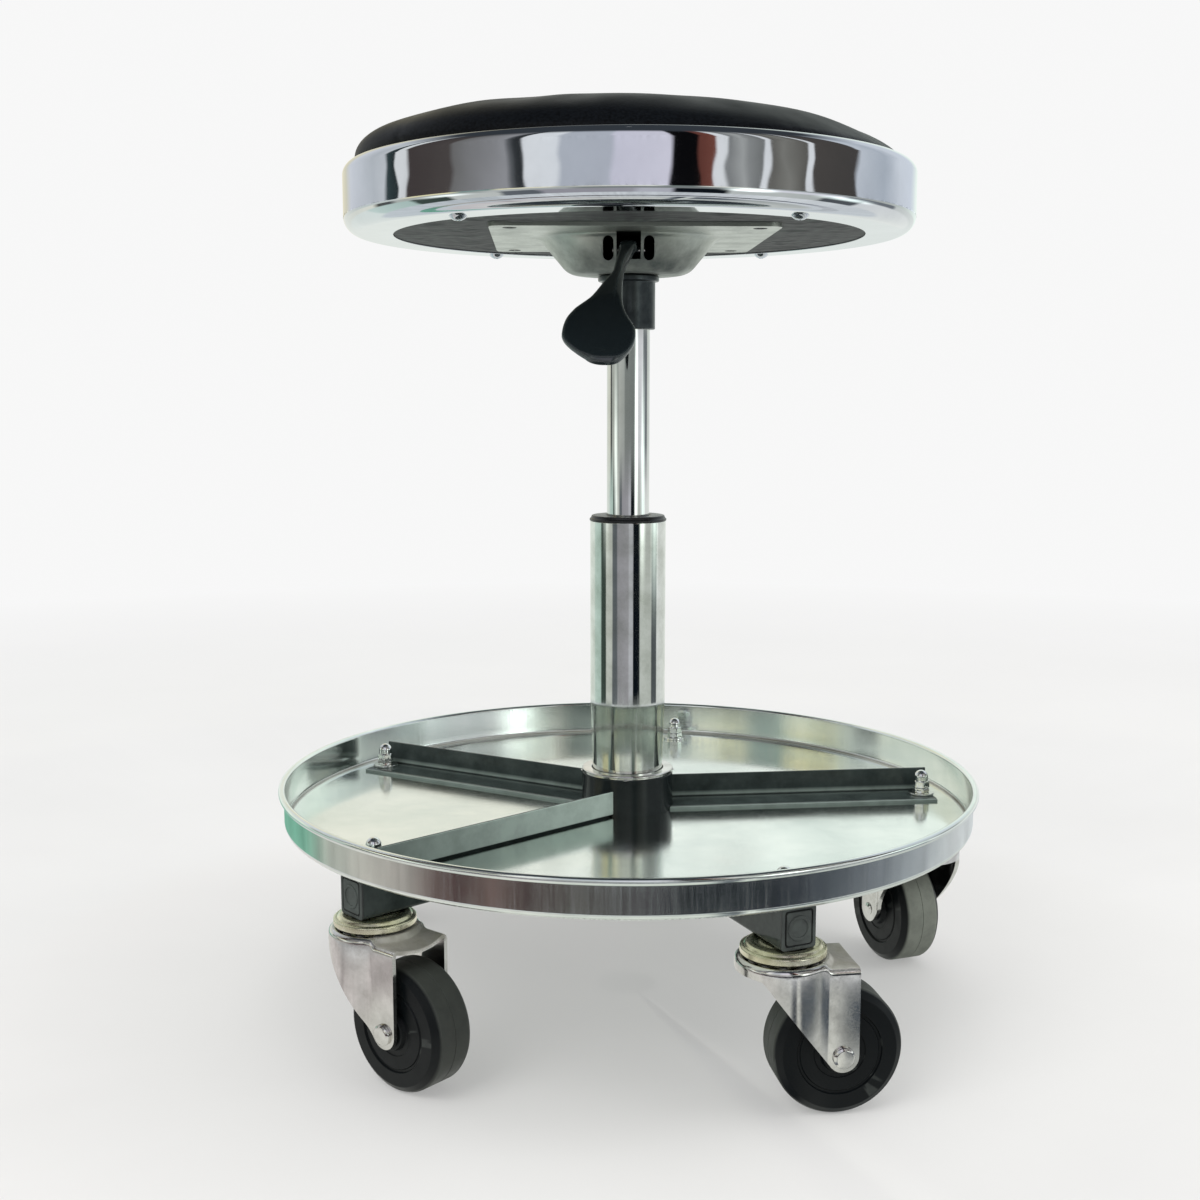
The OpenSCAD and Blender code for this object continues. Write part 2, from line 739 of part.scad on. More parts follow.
module thrust_washer_lower() {
    color(zinc) translate([0, 0, thrust_z])
        tube_ring(thrust_outer_r, rod_d / 2 + soft_gap, thrust_washer_t);
}

module thrust_balls() {
    color(chrome) for (k = [0:thrust_ball_count - 1]) rotate([0, 0, 360 * k / thrust_ball_count])
        translate([race_r, 0, ball_z]) sphere(d = ball_d, $fn = 24);
}

module thrust_washer_upper() {
    color(zinc) translate([0, 0, upper_washer_z])
        tube_ring(thrust_outer_r, rod_tail_d / 2 + seat_gap, thrust_washer_t);
}

// Piston rod: stands on the upper thrust washer with its shoulder
module piston_rod() {
    groove_r = rod_tail_d / 2 - clip_t / 2;
    color(chrome) rotate_extrude() polygon([
        [0, rod_foot_z], [rod_tail_d / 2, rod_foot_z], [rod_tail_d / 2, clip_z],
        [groove_r, clip_z], [groove_r, clip_z + clip_t], [rod_tail_d / 2, clip_z + clip_t],
        [rod_tail_d / 2, shoulder_z], [rod_d / 2, shoulder_z],
        [rod_d / 2, piston_z + piston_h], [0, piston_z + piston_h]
    ]);
}

// Piston: a collar on the rod with a groove for its seal
module piston() {
    outer = cylinder_bore_r - soft_gap;
    groove = outer - cylinder_wall;
    land_h = piston_land_share * piston_h;
    color(gunmetal) translate([0, 0, piston_z]) rotate_extrude() polygon([
        [rod_d / 2 + seat_gap, 0], [outer, 0], [outer, land_h], [groove, land_h],
        [groove, piston_h - land_h], [outer, piston_h - land_h], [outer, piston_h],
        [rod_d / 2 + seat_gap, piston_h]
    ]);
}

// Clip: an open ring in the groove of the rod
module rod_clip() {
    inner_r = rod_tail_d / 2 - clip_t / 2 + seat_gap;
    color(gunmetal) translate([0, 0, clip_z + seat_gap]) difference() {
        tube_ring(inner_r + clip_wall, inner_r, clip_t - 2 * seat_gap);
        translate([0, -clip_wall / 2, -cut]) cube([inner_r + clip_wall + cut, clip_wall, clip_t + 2 * cut]);
    }
}

module rubber_buffer() {
    color(black_rubber) translate([0, 0, shoulder_z])
        tube_ring(rod_d / 2 + buffer_wall, rod_d / 2 + seat_gap, buffer_h);
}

// Gas cylinder: a closed tube whose head is tapered to wedge in the socket
module gas_cylinder() {
    r = cylinder_d / 2;
    pin_r = valve_pin_d / 2 + run_gap;
    color(chrome) rotate_extrude() polygon([
        [cylinder_bore_r, cylinder_z], [r, cylinder_z], [r, socket_z],
        [cylinder_head_d / 2, cylinder_top_z], [pin_r, cylinder_top_z],
        [pin_r, cylinder_top_z - valve_roof_t], [valve_d / 2, cylinder_top_z - valve_roof_t],
        [valve_d / 2, cylinder_roof_z], [cylinder_bore_r, cylinder_roof_z]
    ]);
}

module cylinder_gland() {
    color(gunmetal) translate([0, 0, cylinder_z])
        tube_ring(cylinder_bore_r - seat_gap, rod_d / 2 + run_gap, gland_h);
}

module valve_body() {
    color(zinc) translate([0, 0, valve_body_z])
        tube_ring(valve_d / 2 - seat_gap, valve_pin_d / 2 + run_gap, valve_len);
}

// Valve pin: stands out of the cylinder's head under the lever's nose
module valve_pin() {
    color(zinc) translate([0, 0, valve_body_z - valve_seat_gap])
        cylinder(d = valve_pin_d, h = valve_pin_top_z - soft_gap - valve_body_z + valve_seat_gap);
}

// Taper socket: welded through the pan, with a ring below it
module taper_socket() {
    outer = cylinder_d / 2 + socket_wall;
    head_r = cylinder_d / 2 - (cylinder_d - cylinder_head_d) / 2
        * (bowl_floor_z - socket_z) / (cylinder_top_z - socket_z) + seat_gap;
    color(gunmetal) rotate_extrude() polygon([
        [cylinder_d / 2 + seat_gap, socket_z], [outer, socket_z], [outer, ring_z],
        [socket_ring_d / 2, ring_z], [socket_ring_d / 2, pan_z], [outer, pan_z],
        [outer, bowl_floor_z], [head_r, bowl_floor_z]
    ]);
}

// Outline of the bowl's section, from its floor to its mouth, at a depth into the sheet
function bowl_section(depth) = concat(
    arc([floor_r, pan_z + bowl_bend_r], bowl_bend_r - depth, -90, bowl_slope - 90, 8),
    arc([bowl_r, plate_z - mouth_bend_r], mouth_bend_r + depth, bowl_slope + 90, 90, 8)
);

// Seat pan: a pressed bowl in a square plate, with a window for the lever and two slots
module seat_pan() {
    hole_r = cylinder_d / 2 + socket_wall + seat_gap;
    outer = bowl_section(0);
    inner = bowl_section(pan_t);
    half_w = pan_w / 2;
    slot_low_z = pan_z + slot_shares[0] * pan_depth;
    slot_high_z = pan_z + slot_shares[1] * pan_depth;
    color(pan_paint) difference() {
        union() {
            rotate_extrude() polygon(concat(
                [[hole_r, pan_z]], outer, [[bowl_r + pan_t, plate_z], [bowl_r + pan_t, cover_z]],
                [for (k = [len(inner) - 1:-1:0]) inner[k]], [[hole_r, bowl_floor_z]]
            ));
            rotate([0, 0, pan_turn]) difference() {
                translate([-half_w, -half_w, plate_z]) cube([pan_w, pan_w, pan_t]);
                translate([0, 0, plate_z - cut]) cylinder(r = bowl_r + pan_t / 2, h = pan_t + 2 * cut);
                for (x = [-1, 1], y = [-1, 1])
                    translate([x * pan_half_pitch, y * pan_half_pitch, plate_z]) {
                        translate([0, 0, -cut]) cylinder(d = screw_shank_d + 2 * bolt_gap, h = pan_t + 2 * cut);
                        cylinder(d1 = pan_screw_d + 2 * bolt_gap, d2 = screw_shank_d + 2 * bolt_gap, h = pan_t);
                    }
            }
        }
        translate([-window_w / 2, -bowl_r - pan_t / 2, pan_z + window_share * pan_depth])
            cube([window_w, bowl_r / 2, (1 - window_share) * pan_depth]);
        for (x = [-1, 1]) translate([x * slot_x, -bowl_r, 0]) rotate([-90, 0, 0]) {
            translate([0, -slot_low_z, 0]) cylinder(d = slot_w, h = bowl_r / 2);
            translate([0, -slot_high_z, 0]) cylinder(d = slot_w, h = bowl_r / 2);
            translate([-slot_w / 2, -slot_high_z, 0])
                cube([slot_w, slot_high_z - slot_low_z, bowl_r / 2]);
        }
    }
}

// Pan screws: black countersunk screws up into the board
module pan_screws() {
    color(black_plastic) rotate([0, 0, pan_turn]) for (x = [-1, 1], y = [-1, 1])
        translate([x * pan_half_pitch, y * pan_half_pitch, plate_z]) {
            cylinder(d1 = pan_screw_d, d2 = screw_shank_d, h = pan_t);
            cylinder(d = screw_shank_d, h = pan_t + cover_t + screw_len);
        }
}

// Places of the band's screws
module at_band_screws() {
    for (side = [0, 180], turn = [-1, 1])
        rotate([0, 0, side + turn * band_screw_angle]) translate([band_screw_r, 0, 0]) children();
}

// Holes for the pan's and the band's screws, from a height up
module screw_holes(z, h) {
    rotate([0, 0, pan_turn]) for (x = [-1, 1], y = [-1, 1])
        translate([x * pan_half_pitch, y * pan_half_pitch, z])
            cylinder(d = screw_shank_d + 2 * bolt_gap, h = h);
    at_band_screws() translate([0, 0, z]) cylinder(d = band_screw_d + 2 * bolt_gap, h = h);
}

module seat_board() {
    color(plywood) difference() {
        translate([0, 0, board_z]) cylinder(d = board_d, h = board_t);
        screw_holes(board_z - cut, screw_len + 2 * cut);
    }
}

// Dust cover: thin cloth stretched under the board
module dust_cover() {
    color(cover_cloth) difference() {
        translate([0, 0, cover_z]) cylinder(d = board_d, h = cover_t);
        screw_holes(cover_z - cut, cover_t + 2 * cut);
    }
}

// Height of the crown at a share of the cushion's radius
function crown(share) = crown_h * pow(1 - pow(share, 5.9), 1 / 1.55);

// Cushion: it wraps the board, swells inside the band, is drawn in by the band's lip and
// rises to its crown
module seat_cushion() {
    waist_r = lip_r - soft_gap;
    swell_r = band_r - band_t - 2 * soft_gap;
    wrap_r = board_d / 2 + seat_gap;
    low_r = band_r - band_foot_r;
    color(vinyl) rotate_extrude($fn = 120) polygon(concat(
        [[0, board_top_z], [wrap_r, board_top_z], [wrap_r, board_z], [wrap_r + wrap_t, board_z],
         [low_r + band_t, band_z + band_foot_r]],
        [for (k = [1:7]) [low_r + band_t + (swell_r - low_r - band_t) * sin(180 * k / 8),
            band_z + band_foot_r + (band_top_z - band_head_r - band_z - band_foot_r) * k / 8]],
        [[waist_r - lip_dent, band_top_z - band_head_r], [waist_r - 2 * lip_dent, band_top_z]],
        [for (k = [1:24]) let (share = sin(90 - 90 * k / 24))
            [(waist_r - 2 * lip_dent) * share, band_top_z + crown(share)]]
    ));
}

// Band: a spun ring with a flange under the seat and an edge rolled in over the cushion
module chrome_band() {
    foot = [band_r - band_foot_r, band_z + band_foot_r];
    head = [band_r - band_head_r, band_top_z - band_head_r];
    color(chrome) difference() {
        rotate_extrude($fn = 180) polygon(concat(
            [[band_r - flange_w, band_z]],
            arc(foot, band_foot_r, -90, 0, 10),
            arc(head, band_head_r, 0, 90, 10),
            arc(head, band_head_r - band_t, 90, 0, 10),
            arc(foot, band_foot_r - band_t, 0, -90, 10),
            [[band_r - flange_w, band_z + band_t]]
        ));
        at_band_screws() translate([0, 0, band_z - cut])
            cylinder(d = band_screw_d + 2 * bolt_gap, h = band_t + 2 * cut);
    }
}

// Band screws: truss heads under the flange
module band_screws() {
    head_r = band_screw_head_d / 2;
    cap_r = (pow(head_r, 2) + pow(band_screw_head_h, 2)) / (2 * band_screw_head_h);
    half_angle = asin(head_r / cap_r);
    color(chrome) at_band_screws() translate([0, 0, band_z]) rotate_extrude($fn = 48)
        polygon(concat(
            [[0, -band_screw_head_h]],
            arc([0, cap_r - band_screw_head_h], cap_r, -90, half_angle - 90, 8),
            [[band_screw_d / 2, 0], [band_screw_d / 2, band_t + cover_t + screw_len],
             [0, band_t + cover_t + screw_len]]
        ));
}

// Bracket: two ears on a foot, welded in the bowl
module lever_bracket() {
    inner = bracket_half_w - bracket_t;
    depth = 2 * eye_r + 2 * bracket_t;
    color(gunmetal) translate([0, -pivot_reach, 0]) difference() {
        union() {
            translate([-bracket_half_w, -depth / 2, bowl_floor_z])
                cube([2 * bracket_half_w, depth, pivot_rise]);
            translate([-bracket_half_w, 0, pivot_z]) rotate([0, 90, 0])
                cylinder(r = eye_r, h = 2 * bracket_half_w);
        }
        translate([-inner, -depth / 2 - cut, bowl_floor_z + bracket_t])
            cube([2 * inner, depth + 2 * cut, pivot_rise + 2 * eye_r]);
        translate([-bracket_half_w - cut, 0, pivot_z]) rotate([0, 90, 0])
            cylinder(d = lever_pin_d + 2 * seat_gap, h = 2 * bracket_half_w + 2 * cut);
    }
}

module lever_pin() {
    color(zinc) translate([0, -pivot_reach, pivot_z]) rotate([0, 90, 0]) {
        cylinder(d = lever_pin_d, h = 2 * bracket_half_w + pin_head_h, center = true);
        for (end = [-1, 1]) translate([0, 0, end * (bracket_half_w + pin_head_h / 2 + seat_gap)])
            cylinder(d = lever_pin_d + 2 * pin_head_h, h = pin_head_h, center = true);
    }
}

// Puts its children on the handle, with X across it and Y down its slope
module on_handle() {
    translate([0, -handle_y, pivot_z]) rotate([180 + handle_slope, 0, 0]) children();
}

// The steel inside the handle: the end of the flat bar and a narrower tongue bent down
module lever_core(grow) {
    translate([-bar_w / 2 - grow, -handle_y - grow, pivot_z - bar_t / 2 - grow])
        cube([bar_w + 2 * grow, handle_y - pivot_reach, bar_t + 2 * grow]);
    on_handle() translate([tongue_x_share * paddle_w - bar_w / 4 - grow, 0, -bar_t / 2 - grow])
        cube([bar_w / 2 + 2 * grow, tongue_len + grow, bar_t + 2 * grow]);
}

// Lever arm: a nose over the valve, an eye on the pin and a flat bar out to the handle
module lever_arm() {
    color(gunmetal) difference() {
        union() {
            translate([-eye_half_w, -pivot_reach, pivot_z]) rotate([0, 90, 0])
                cylinder(r = eye_r, h = 2 * eye_half_w);
            translate([-bar_w / 2, -pivot_reach - eye_r, pivot_z - bar_t / 2])
                cube([bar_w, pivot_reach + eye_r, bar_t]);
            translate([-bar_w / 2, 0, pivot_z]) rotate([0, 90, 0]) cylinder(r = nose_r, h = bar_w);
            lever_core(0);
        }
        translate([-eye_half_w - cut, -pivot_reach, pivot_z]) rotate([0, 90, 0])
            cylinder(d = lever_pin_d + 2 * run_gap, h = 2 * eye_half_w + 2 * cut);
    }
}

// Stations down the handle: shares of its width across, of its length down the slope, and
// the radius there as a share of its width
handle_shares = [
    [-0.01, 0.02, 0.125], [-0.13, 0.215, 0.088], [-0.21, 0.385, 0.14],
    [-0.40, 0.71, 0.49], [-0.33, 0.825, 0.41]
];
function station_at(k) = [handle_shares[k][0] * paddle_w, handle_shares[k][1] * handle_len];
function station_r(k) = handle_shares[k][2] * paddle_w;

// The way from a station to the next, and how far its two touching lines stand off that way
function way(k) = let (step = station_at(k + 1) - station_at(k)) atan2(step[1], step[0]);
function lean(k) =
    acos((station_r(k) - station_r(k + 1)) / norm(station_at(k + 1) - station_at(k)));

// The outline's points as it passes a station on one side: an arc outside a bend, a corner
// where two touching lines meet inside one
function pass(k, side) = let (
        from = way(k - 1) + side * lean(k - 1), to = way(k) + side * lean(k), middle = (from + to) / 2
    ) side * (from - to) > 0
        ? arc(station_at(k), station_r(k), from, to, 4)
        : [station_at(k) + station_r(k) / cos(to - middle) * [cos(middle), sin(middle)]];

// Outline of the handle between two of its stations, up one side and down the other
module handle_plan(first, last) {
    tip = way(last - 1);
    foot = way(first);
    right_side = [for (k = [first + 1:1:last - 1]) each pass(k, -1)];
    polygon(concat(
        [for (k = [first + 1:1:last - 1]) each pass(k, 1)],
        arc(station_at(last), station_r(last), tip + lean(last - 1), tip - lean(last - 1), 24),
        [for (k = [len(right_side) - 1:-1:0]) right_side[k]],
        arc(station_at(first), station_r(first), foot + 360 - lean(first), foot + lean(first), 12)
    ));
}

// Handle: a moulded paddle that bends to the left of the column, with a thicker neck that
// turns level where it enters the pan
module lever_handle() {
    neck_t = neck_share * paddle_t;
    root_r = station_r(0);
    color(black_plastic) difference() {
        union() {
            translate([-root_r, -handle_y, pivot_z - neck_t / 2])
                cube([2 * root_r, root_len, neck_t]);
            translate([-root_r, -handle_y, pivot_z]) rotate([0, 90, 0])
                cylinder(d = neck_t, h = 2 * root_r);
            on_handle() {
                linear_extrude(paddle_t, center = true) handle_plan(0, 4);
                linear_extrude(neck_t, center = true) handle_plan(0, 1);
            }
        }
        lever_core(seat_gap);
    }
}

hub();
hub_ring();
base_arms();
arm_end_plugs();
tray();
divider_right();
divider_rear_left();
divider_front_left();
caster_stem_bolts();
stem_washers();
stem_nuts();
cap_nuts();
caster_cups();
swivel_balls();
outer_tube();
guide_bush();
thrust_washer_lower();
thrust_balls();
piston_rod();
piston();
thrust_washer_upper();
rod_clip();
rubber_buffer();
gas_cylinder();
cylinder_gland();
valve_body();
taper_socket();
seat_pan();
pan_screws();
seat_board();
seat_cushion();
chrome_band();
band_screws();
dust_cover();
lever_bracket();
lever_pin();
lever_arm();
lever_handle();
valve_pin();
fork_right();
axle_right();
wheel_right();
wheel_bush_right();
fork_rear();
axle_rear();
wheel_rear();
wheel_bush_rear();
fork_rear_left();
axle_rear_left();
wheel_rear_left();
wheel_bush_rear_left();
fork_front_left();
axle_front_left();
wheel_front_left();
wheel_bush_front_left();
fork_front_right();
axle_front_right();
wheel_front_right();
wheel_bush_front_right();
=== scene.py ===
"""Looks of a rolling workshop stool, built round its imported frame.

The stool has a padded seat in a bright band, a gas lift with its lever, and a round tool
tray on five casters. Every mesh is in metres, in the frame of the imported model: +Z is up,
and the origin lies on the floor under the column. Sizes come from the frame's own boxes and
joints, or are real sizes held by the class of the piece that has them. Pieces are drawn in
millimetres, and settle() turns a finished one to metres.
"""

import json
import logging
from collections.abc import Callable, Iterable, Sequence
from dataclasses import dataclass, field
from enum import Enum
from functools import partial
from math import asin, atan2, copysign, cos, degrees, exp, hypot, pi, radians, sin, sqrt, tan

import bmesh
import bpy
from bpy.types import Mesh, Node, NodeSocket, NodeTree, Object
from mathutils import Matrix, Vector, noise
from mathutils.kdtree import KDTree


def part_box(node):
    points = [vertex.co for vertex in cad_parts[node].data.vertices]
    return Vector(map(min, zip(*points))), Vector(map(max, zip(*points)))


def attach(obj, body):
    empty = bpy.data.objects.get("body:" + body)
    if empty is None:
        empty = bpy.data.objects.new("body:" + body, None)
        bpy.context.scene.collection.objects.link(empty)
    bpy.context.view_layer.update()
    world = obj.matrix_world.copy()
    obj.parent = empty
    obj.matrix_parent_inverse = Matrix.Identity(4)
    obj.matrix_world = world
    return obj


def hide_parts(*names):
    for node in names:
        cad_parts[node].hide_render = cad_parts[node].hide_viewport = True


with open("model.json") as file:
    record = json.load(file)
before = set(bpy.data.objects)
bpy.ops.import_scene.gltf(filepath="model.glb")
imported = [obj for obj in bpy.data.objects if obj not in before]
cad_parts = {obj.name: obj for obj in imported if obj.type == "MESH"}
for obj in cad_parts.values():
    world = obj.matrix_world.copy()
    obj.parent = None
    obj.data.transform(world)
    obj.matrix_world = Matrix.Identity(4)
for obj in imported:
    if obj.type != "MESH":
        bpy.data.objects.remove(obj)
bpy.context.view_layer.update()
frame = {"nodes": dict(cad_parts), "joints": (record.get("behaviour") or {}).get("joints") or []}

LOG = logging.getLogger("stool")
MM = 0.001
# Points of a turned part that are no further apart become one, in mm
MERGE = 0.001
FULL_TURN = 2 * pi
SHARP_ANGLE = radians(38)


class Slot(Enum):
    """The record's material slots."""

    BLACK_PAINT = "black_paint"
    ZINC = "zinc"
    BLACK_PLASTIC = "black_plastic"
    TRAY_STEEL = "tray_steel"
    YELLOW_ZINC = "yellow_zinc"
    GROUND_STEEL = "ground_steel"
    CHROME = "chrome"
    GUNMETAL = "gunmetal"
    SOFT_RUBBER = "soft_rubber"
    PAN_STEEL = "pan_steel"
    BLACK_SCREWS = "black_screws"
    PLYWOOD = "plywood"
    VINYL = "vinyl"
    COVER_CLOTH = "cover_cloth"
    WHEEL_RUBBER = "wheel_rubber"


def linear(colour: str) -> tuple[float, float, float, float]:
    """Linear light, with an alpha of 1, of an sRGB colour in six hex digits."""
    parts = [int(colour[k:k + 2], 16) / 255 for k in (0, 2, 4)]
    light = [p / 12.92 if p <= 0.04045 else ((p + 0.055) / 1.055) ** 2.4 for p in parts]
    return (*light, 1.0)


def per_mm(size: float) -> float:
    """Scale of a texture on coordinates in metres whose features are size millimetres."""
    return 1 / (size * MM)


def give(tree: NodeTree, node: Node, links: dict) -> None:
    """Gives inputs of a node, by name or number, a socket to link, a value or a hex colour."""
    for key, value in links.items():
        socket = node.inputs[key]
        if isinstance(value, NodeSocket):
            tree.links.new(value, socket)
        elif socket.type == "RGBA" and isinstance(value, str):
            socket.default_value = linear(value)
        else:
            socket.default_value = value


def add_node(
    tree: NodeTree, kind: str, links: dict | None = None, **settings: object
) -> Sequence[NodeSocket]:
    """Adds a node with its settings and links.

    Args:
        tree: the tree that takes the node.
        kind: the node's type.
        links: what its inputs are given.
        settings: the node's own attributes.

    Returns:
        The new node's outputs.
    """
    node = tree.nodes.new(kind)
    for name, value in settings.items():
        setattr(node, name, value)
    give(tree, node, links or {})
    return node.outputs


# Types of node that most surfaces have
NOISE, RANGE, MATHS = "ShaderNodeTexNoise", "ShaderNodeMapRange", "ShaderNodeMath"
MIXED, BUMP, MAPPING = "ShaderNodeMix", "ShaderNodeBump", "ShaderNodeMapping"
COORDINATES = "ShaderNodeTexCoord"
# Settings of a product and a sum that stay between 0 and 1
PRODUCT = {"operation": "MULTIPLY", "use_clamp": True}
TOTAL = {"operation": "ADD", "use_clamp": True}
# The range that holds nearly all of a noise
MIDDLE = {"From Min": 0.3, "From Max": 0.7}
# A wave texture has this many bands in a unit at a scale of 1
WAVES_PER_UNIT = 20
# Name of the vertex attribute that marks where dust and dirt lie and where painted shade, painted
# highlights and painted reflections go, and the settings that read it
DUST_AND_PAINTED_LIGHT = "dust"
DUST_AND_PAINTED_LIGHT_MARKS = {"attribute_name": DUST_AND_PAINTED_LIGHT}
# Adds a node to one tree
Adder = Callable[..., Sequence[NodeSocket]]


@dataclass(frozen=True)
class Finish:
    """A surface: what it is made of and how it was made. Each kind paints its own nodes."""

    name: str
    slot: Slot

    def paint(self, add: Adder) -> dict:
        """What the shader's inputs are given. Each kind has its own pattern."""
        raise NotImplementedError

    def material(self) -> bpy.types.Material:
        """Builds the material, or finds it if it was built before."""
        made = bpy.data.materials.get(self.name)
        if not made:
            made = bpy.data.materials.new(self.name)
            made.use_nodes = True
            tree = made.node_tree
            give(tree, tree.nodes["Principled BSDF"], self.paint(partial(add_node, tree)))
        return made


@dataclass(frozen=True)
class Metal(Finish):
    """Plated, rolled or ground steel, with its clouds, its drawn lines, dents, and a darker tone
    on marked places: dirt on the forks, a dark line in the tray's corner and painted shade in the
    pan's bowl.
    """

    tone: str = "d0d2d2"
    cloud: str = "b9bab8"
    cloud_mm: float = 30.0
    rough: tuple[float, float] = (0.05, 0.1)
    line_mm: tuple[float, float, float] = (1.0, 1.0, 1.0)
    line_depth: float = 0.02
    dent_mm: float = 25.0
    dent_depth: float = 0.0
    dirt_and_shade: str = "6b6246"
    dirt_and_shade_share: float = 0.0
    dirt_and_shade_rough: float = 0.5

    def paint(self, add: Adder) -> dict:
        """Clouds colour the plating, and lines set its gloss and its finest relief."""
        point = add(COORDINATES)["Object"]
        clouds = add(NOISE, {
            "Vector": point, "Scale": per_mm(self.cloud_mm), "Detail": 4.0, "Roughness": 0.6,
        })[0]
        drawn = add(MAPPING, {
            "Vector": point, "Scale": tuple(per_mm(size) for size in self.line_mm),
        })[0]
        lines = add(NOISE, {
            "Vector": drawn, "Scale": 1.0, "Detail": 3.0, "Roughness": 0.55,
        })[0]
        dents = add(NOISE, {
            "Vector": point, "Scale": per_mm(self.dent_mm), "Detail": 1.0,
        })[0]
        shade = add(RANGE, {"Value": clouds, **MIDDLE})[0]
        plate = add(MIXED, {0: shade, 6: self.tone, 7: self.cloud}, data_type="RGBA")[2]
        both = add(MATHS, {0: lines, 1: clouds}, operation="ADD")[0]
        gloss = add(RANGE, {
            "Value": both, "From Min": 0.75, "From Max": 1.25,
            "To Min": self.rough[0], "To Max": self.rough[1],
        })[0]
        # The darker tone: dirt on the forks, a dark line in the tray's corner, and painted shade
        # and painted reflection in the seat pan's bowl
        patches = add(RANGE, {"Value": clouds, **MIDDLE, "To Min": 0.55})[0]
        marks = add("ShaderNodeAttribute", **DUST_AND_PAINTED_LIGHT_MARKS)["Fac"]
        marked = add(MATHS, {0: marks, 1: patches}, **PRODUCT)[0]
        dirt_and_shade_here = add(MATHS, {0: marked, 1: self.dirt_and_shade_share}, **PRODUCT)[0]
        dull = add(MATHS, {0: dirt_and_shade_here, 1: self.dirt_and_shade_rough}, **PRODUCT)[0]
        fine = add(BUMP, {"Height": lines, "Distance": self.line_depth * MM})[0]
        return {
            "Base Color": add(MIXED, {0: dirt_and_shade_here, 6: plate, 7: self.dirt_and_shade}, data_type="RGBA")[2],
            "Roughness": add(MATHS, {0: gloss, 1: dull}, **TOTAL)[0],
            "Metallic": add(MATHS, {0: 1.0, 1: dirt_and_shade_here}, operation="SUBTRACT", use_clamp=True)[0],
            "Normal": add(BUMP, {
                "Height": dents, "Distance": self.dent_depth * MM, "Normal": fine,
            })[0],
        }


@dataclass(frozen=True)
class Coat(Finish):
    """Paint, plastic or rubber: a dark body with grain, lighter edges that are wear and painted
    highlight, and a pale tone that is dust and painted reflection.
    """

    tone: str = "14181a"
    wear_and_highlight: str = "3a3e3e"
    dust: str = "8f958c"
    dust_and_painted_light_share: float = 0.0
    wear_and_highlight_share: float = 0.25
    rough: tuple[float, float] = (0.25, 0.4)
    grain_mm: float = 1.2
    grain_depth: float = 0.03
    cloud_mm: float = 18.0
    patchy: float = 0.3
    gloss_level: float = 0.25

    def paint(self, add: Adder) -> dict:
        """Edges are lighter: worn on some finishes, a painted highlight on the enamel, the handle
        and the wheels. A pale tone lies in clouds on the marked faces: dust, and on the tray's
        bars a painted highlight and a painted reflection.
        """
        point = add(COORDINATES)["Object"]
        grain = add(NOISE, {
            "Vector": point, "Scale": per_mm(self.grain_mm), "Detail": 3.0,
        })[0]
        clouds = add(NOISE, {
            "Vector": point, "Scale": per_mm(self.cloud_mm), "Detail": 5.0, "Roughness": 0.65,
        })[0]
        # Lighter edges: a painted highlight on the enamel, the handle and the wheels, and wear on
        # the other finishes
        edges = add(RANGE, {
            "Value": add("ShaderNodeNewGeometry")["Pointiness"],
            "From Min": 0.51, "From Max": 0.56, "To Max": self.wear_and_highlight_share,
        })[0]
        uneven = add(RANGE, {"Value": clouds, **MIDDLE, "To Min": 0.4})[0]
        worn_and_lit = add(MATHS, {0: edges, 1: uneven}, **PRODUCT)[0]
        body = add(MIXED, {0: worn_and_lit, 6: self.tone, 7: self.wear_and_highlight}, data_type="RGBA")[2]
        # A pale tone on marked faces: dust, and on the tray's bars a painted highlight and a
        # painted reflection
        patches = add(RANGE, {
            "Value": clouds, "From Min": 0.38, "From Max": 0.6, "To Min": self.patchy,
        })[0]
        marks = add("ShaderNodeAttribute", **DUST_AND_PAINTED_LIGHT_MARKS)["Fac"]
        lying = add(MATHS, {0: marks, 1: patches}, **PRODUCT)[0]
        dusted_and_lit = add(MATHS, {0: lying, 1: self.dust_and_painted_light_share}, **PRODUCT)[0]
        gloss = add(RANGE, {
            "Value": clouds, **MIDDLE, "To Min": self.rough[0], "To Max": self.rough[1],
        })[0]
        return {
            "Base Color": add(MIXED, {0: dusted_and_lit, 6: body, 7: self.dust}, data_type="RGBA")[2],
            "Roughness": add(MATHS, {0: gloss, 1: dusted_and_lit}, **TOTAL)[0],
            "Normal": add(BUMP, {"Height": grain, "Distance": self.grain_depth * MM})[0],
            "Specular IOR Level": self.gloss_level,
        }


@dataclass(frozen=True)
class Vinyl(Finish):
    """Expanded vinyl on cloth, embossed with a leather grain: cells with soft creases."""

    tone: str = "0c0f13"
    crease: str = "050608"
    cell_mm: float = 1.3
    depth_mm: float = 0.05
    cloud_mm: float = 45.0
    rough: tuple[float, float] = (0.34, 0.5)
    gloss_level: float = 0.12

    def paint(self, add: Adder) -> dict:
        """Cells of grain rise between creases, and broad clouds vary the sheen."""
        point = add(COORDINATES)["Object"]
        bent = add(NOISE, {"Vector": point, "Scale": per_mm(4 * self.cell_mm)})[1]
        wander = add(MIXED, {0: 0.0012, 4: point, 5: bent}, data_type="VECTOR")[1]
        cells = add("ShaderNodeTexVoronoi", {
            "Vector": wander, "Scale": per_mm(self.cell_mm), "Smoothness": 0.6,
        }, feature="SMOOTH_F1")["Distance"]
        clouds = add(NOISE, {
            "Vector": point, "Scale": per_mm(self.cloud_mm), "Detail": 4.0,
        })[0]
        creased = add(RANGE, {"Value": cells, "From Min": 0.25, "From Max": 0.75})[0]
        return {
            "Base Color": add(
                MIXED, {0: creased, 6: self.tone, 7: self.crease}, data_type="RGBA"
            )[2],
            "Roughness": add(RANGE, {
                "Value": clouds, **MIDDLE, "To Min": self.rough[0], "To Max": self.rough[1],
            })[0],
            "Normal": add(BUMP, {"Height": cells, "Distance": -self.depth_mm * MM})[0],
            "Specular IOR Level": self.gloss_level,
        }


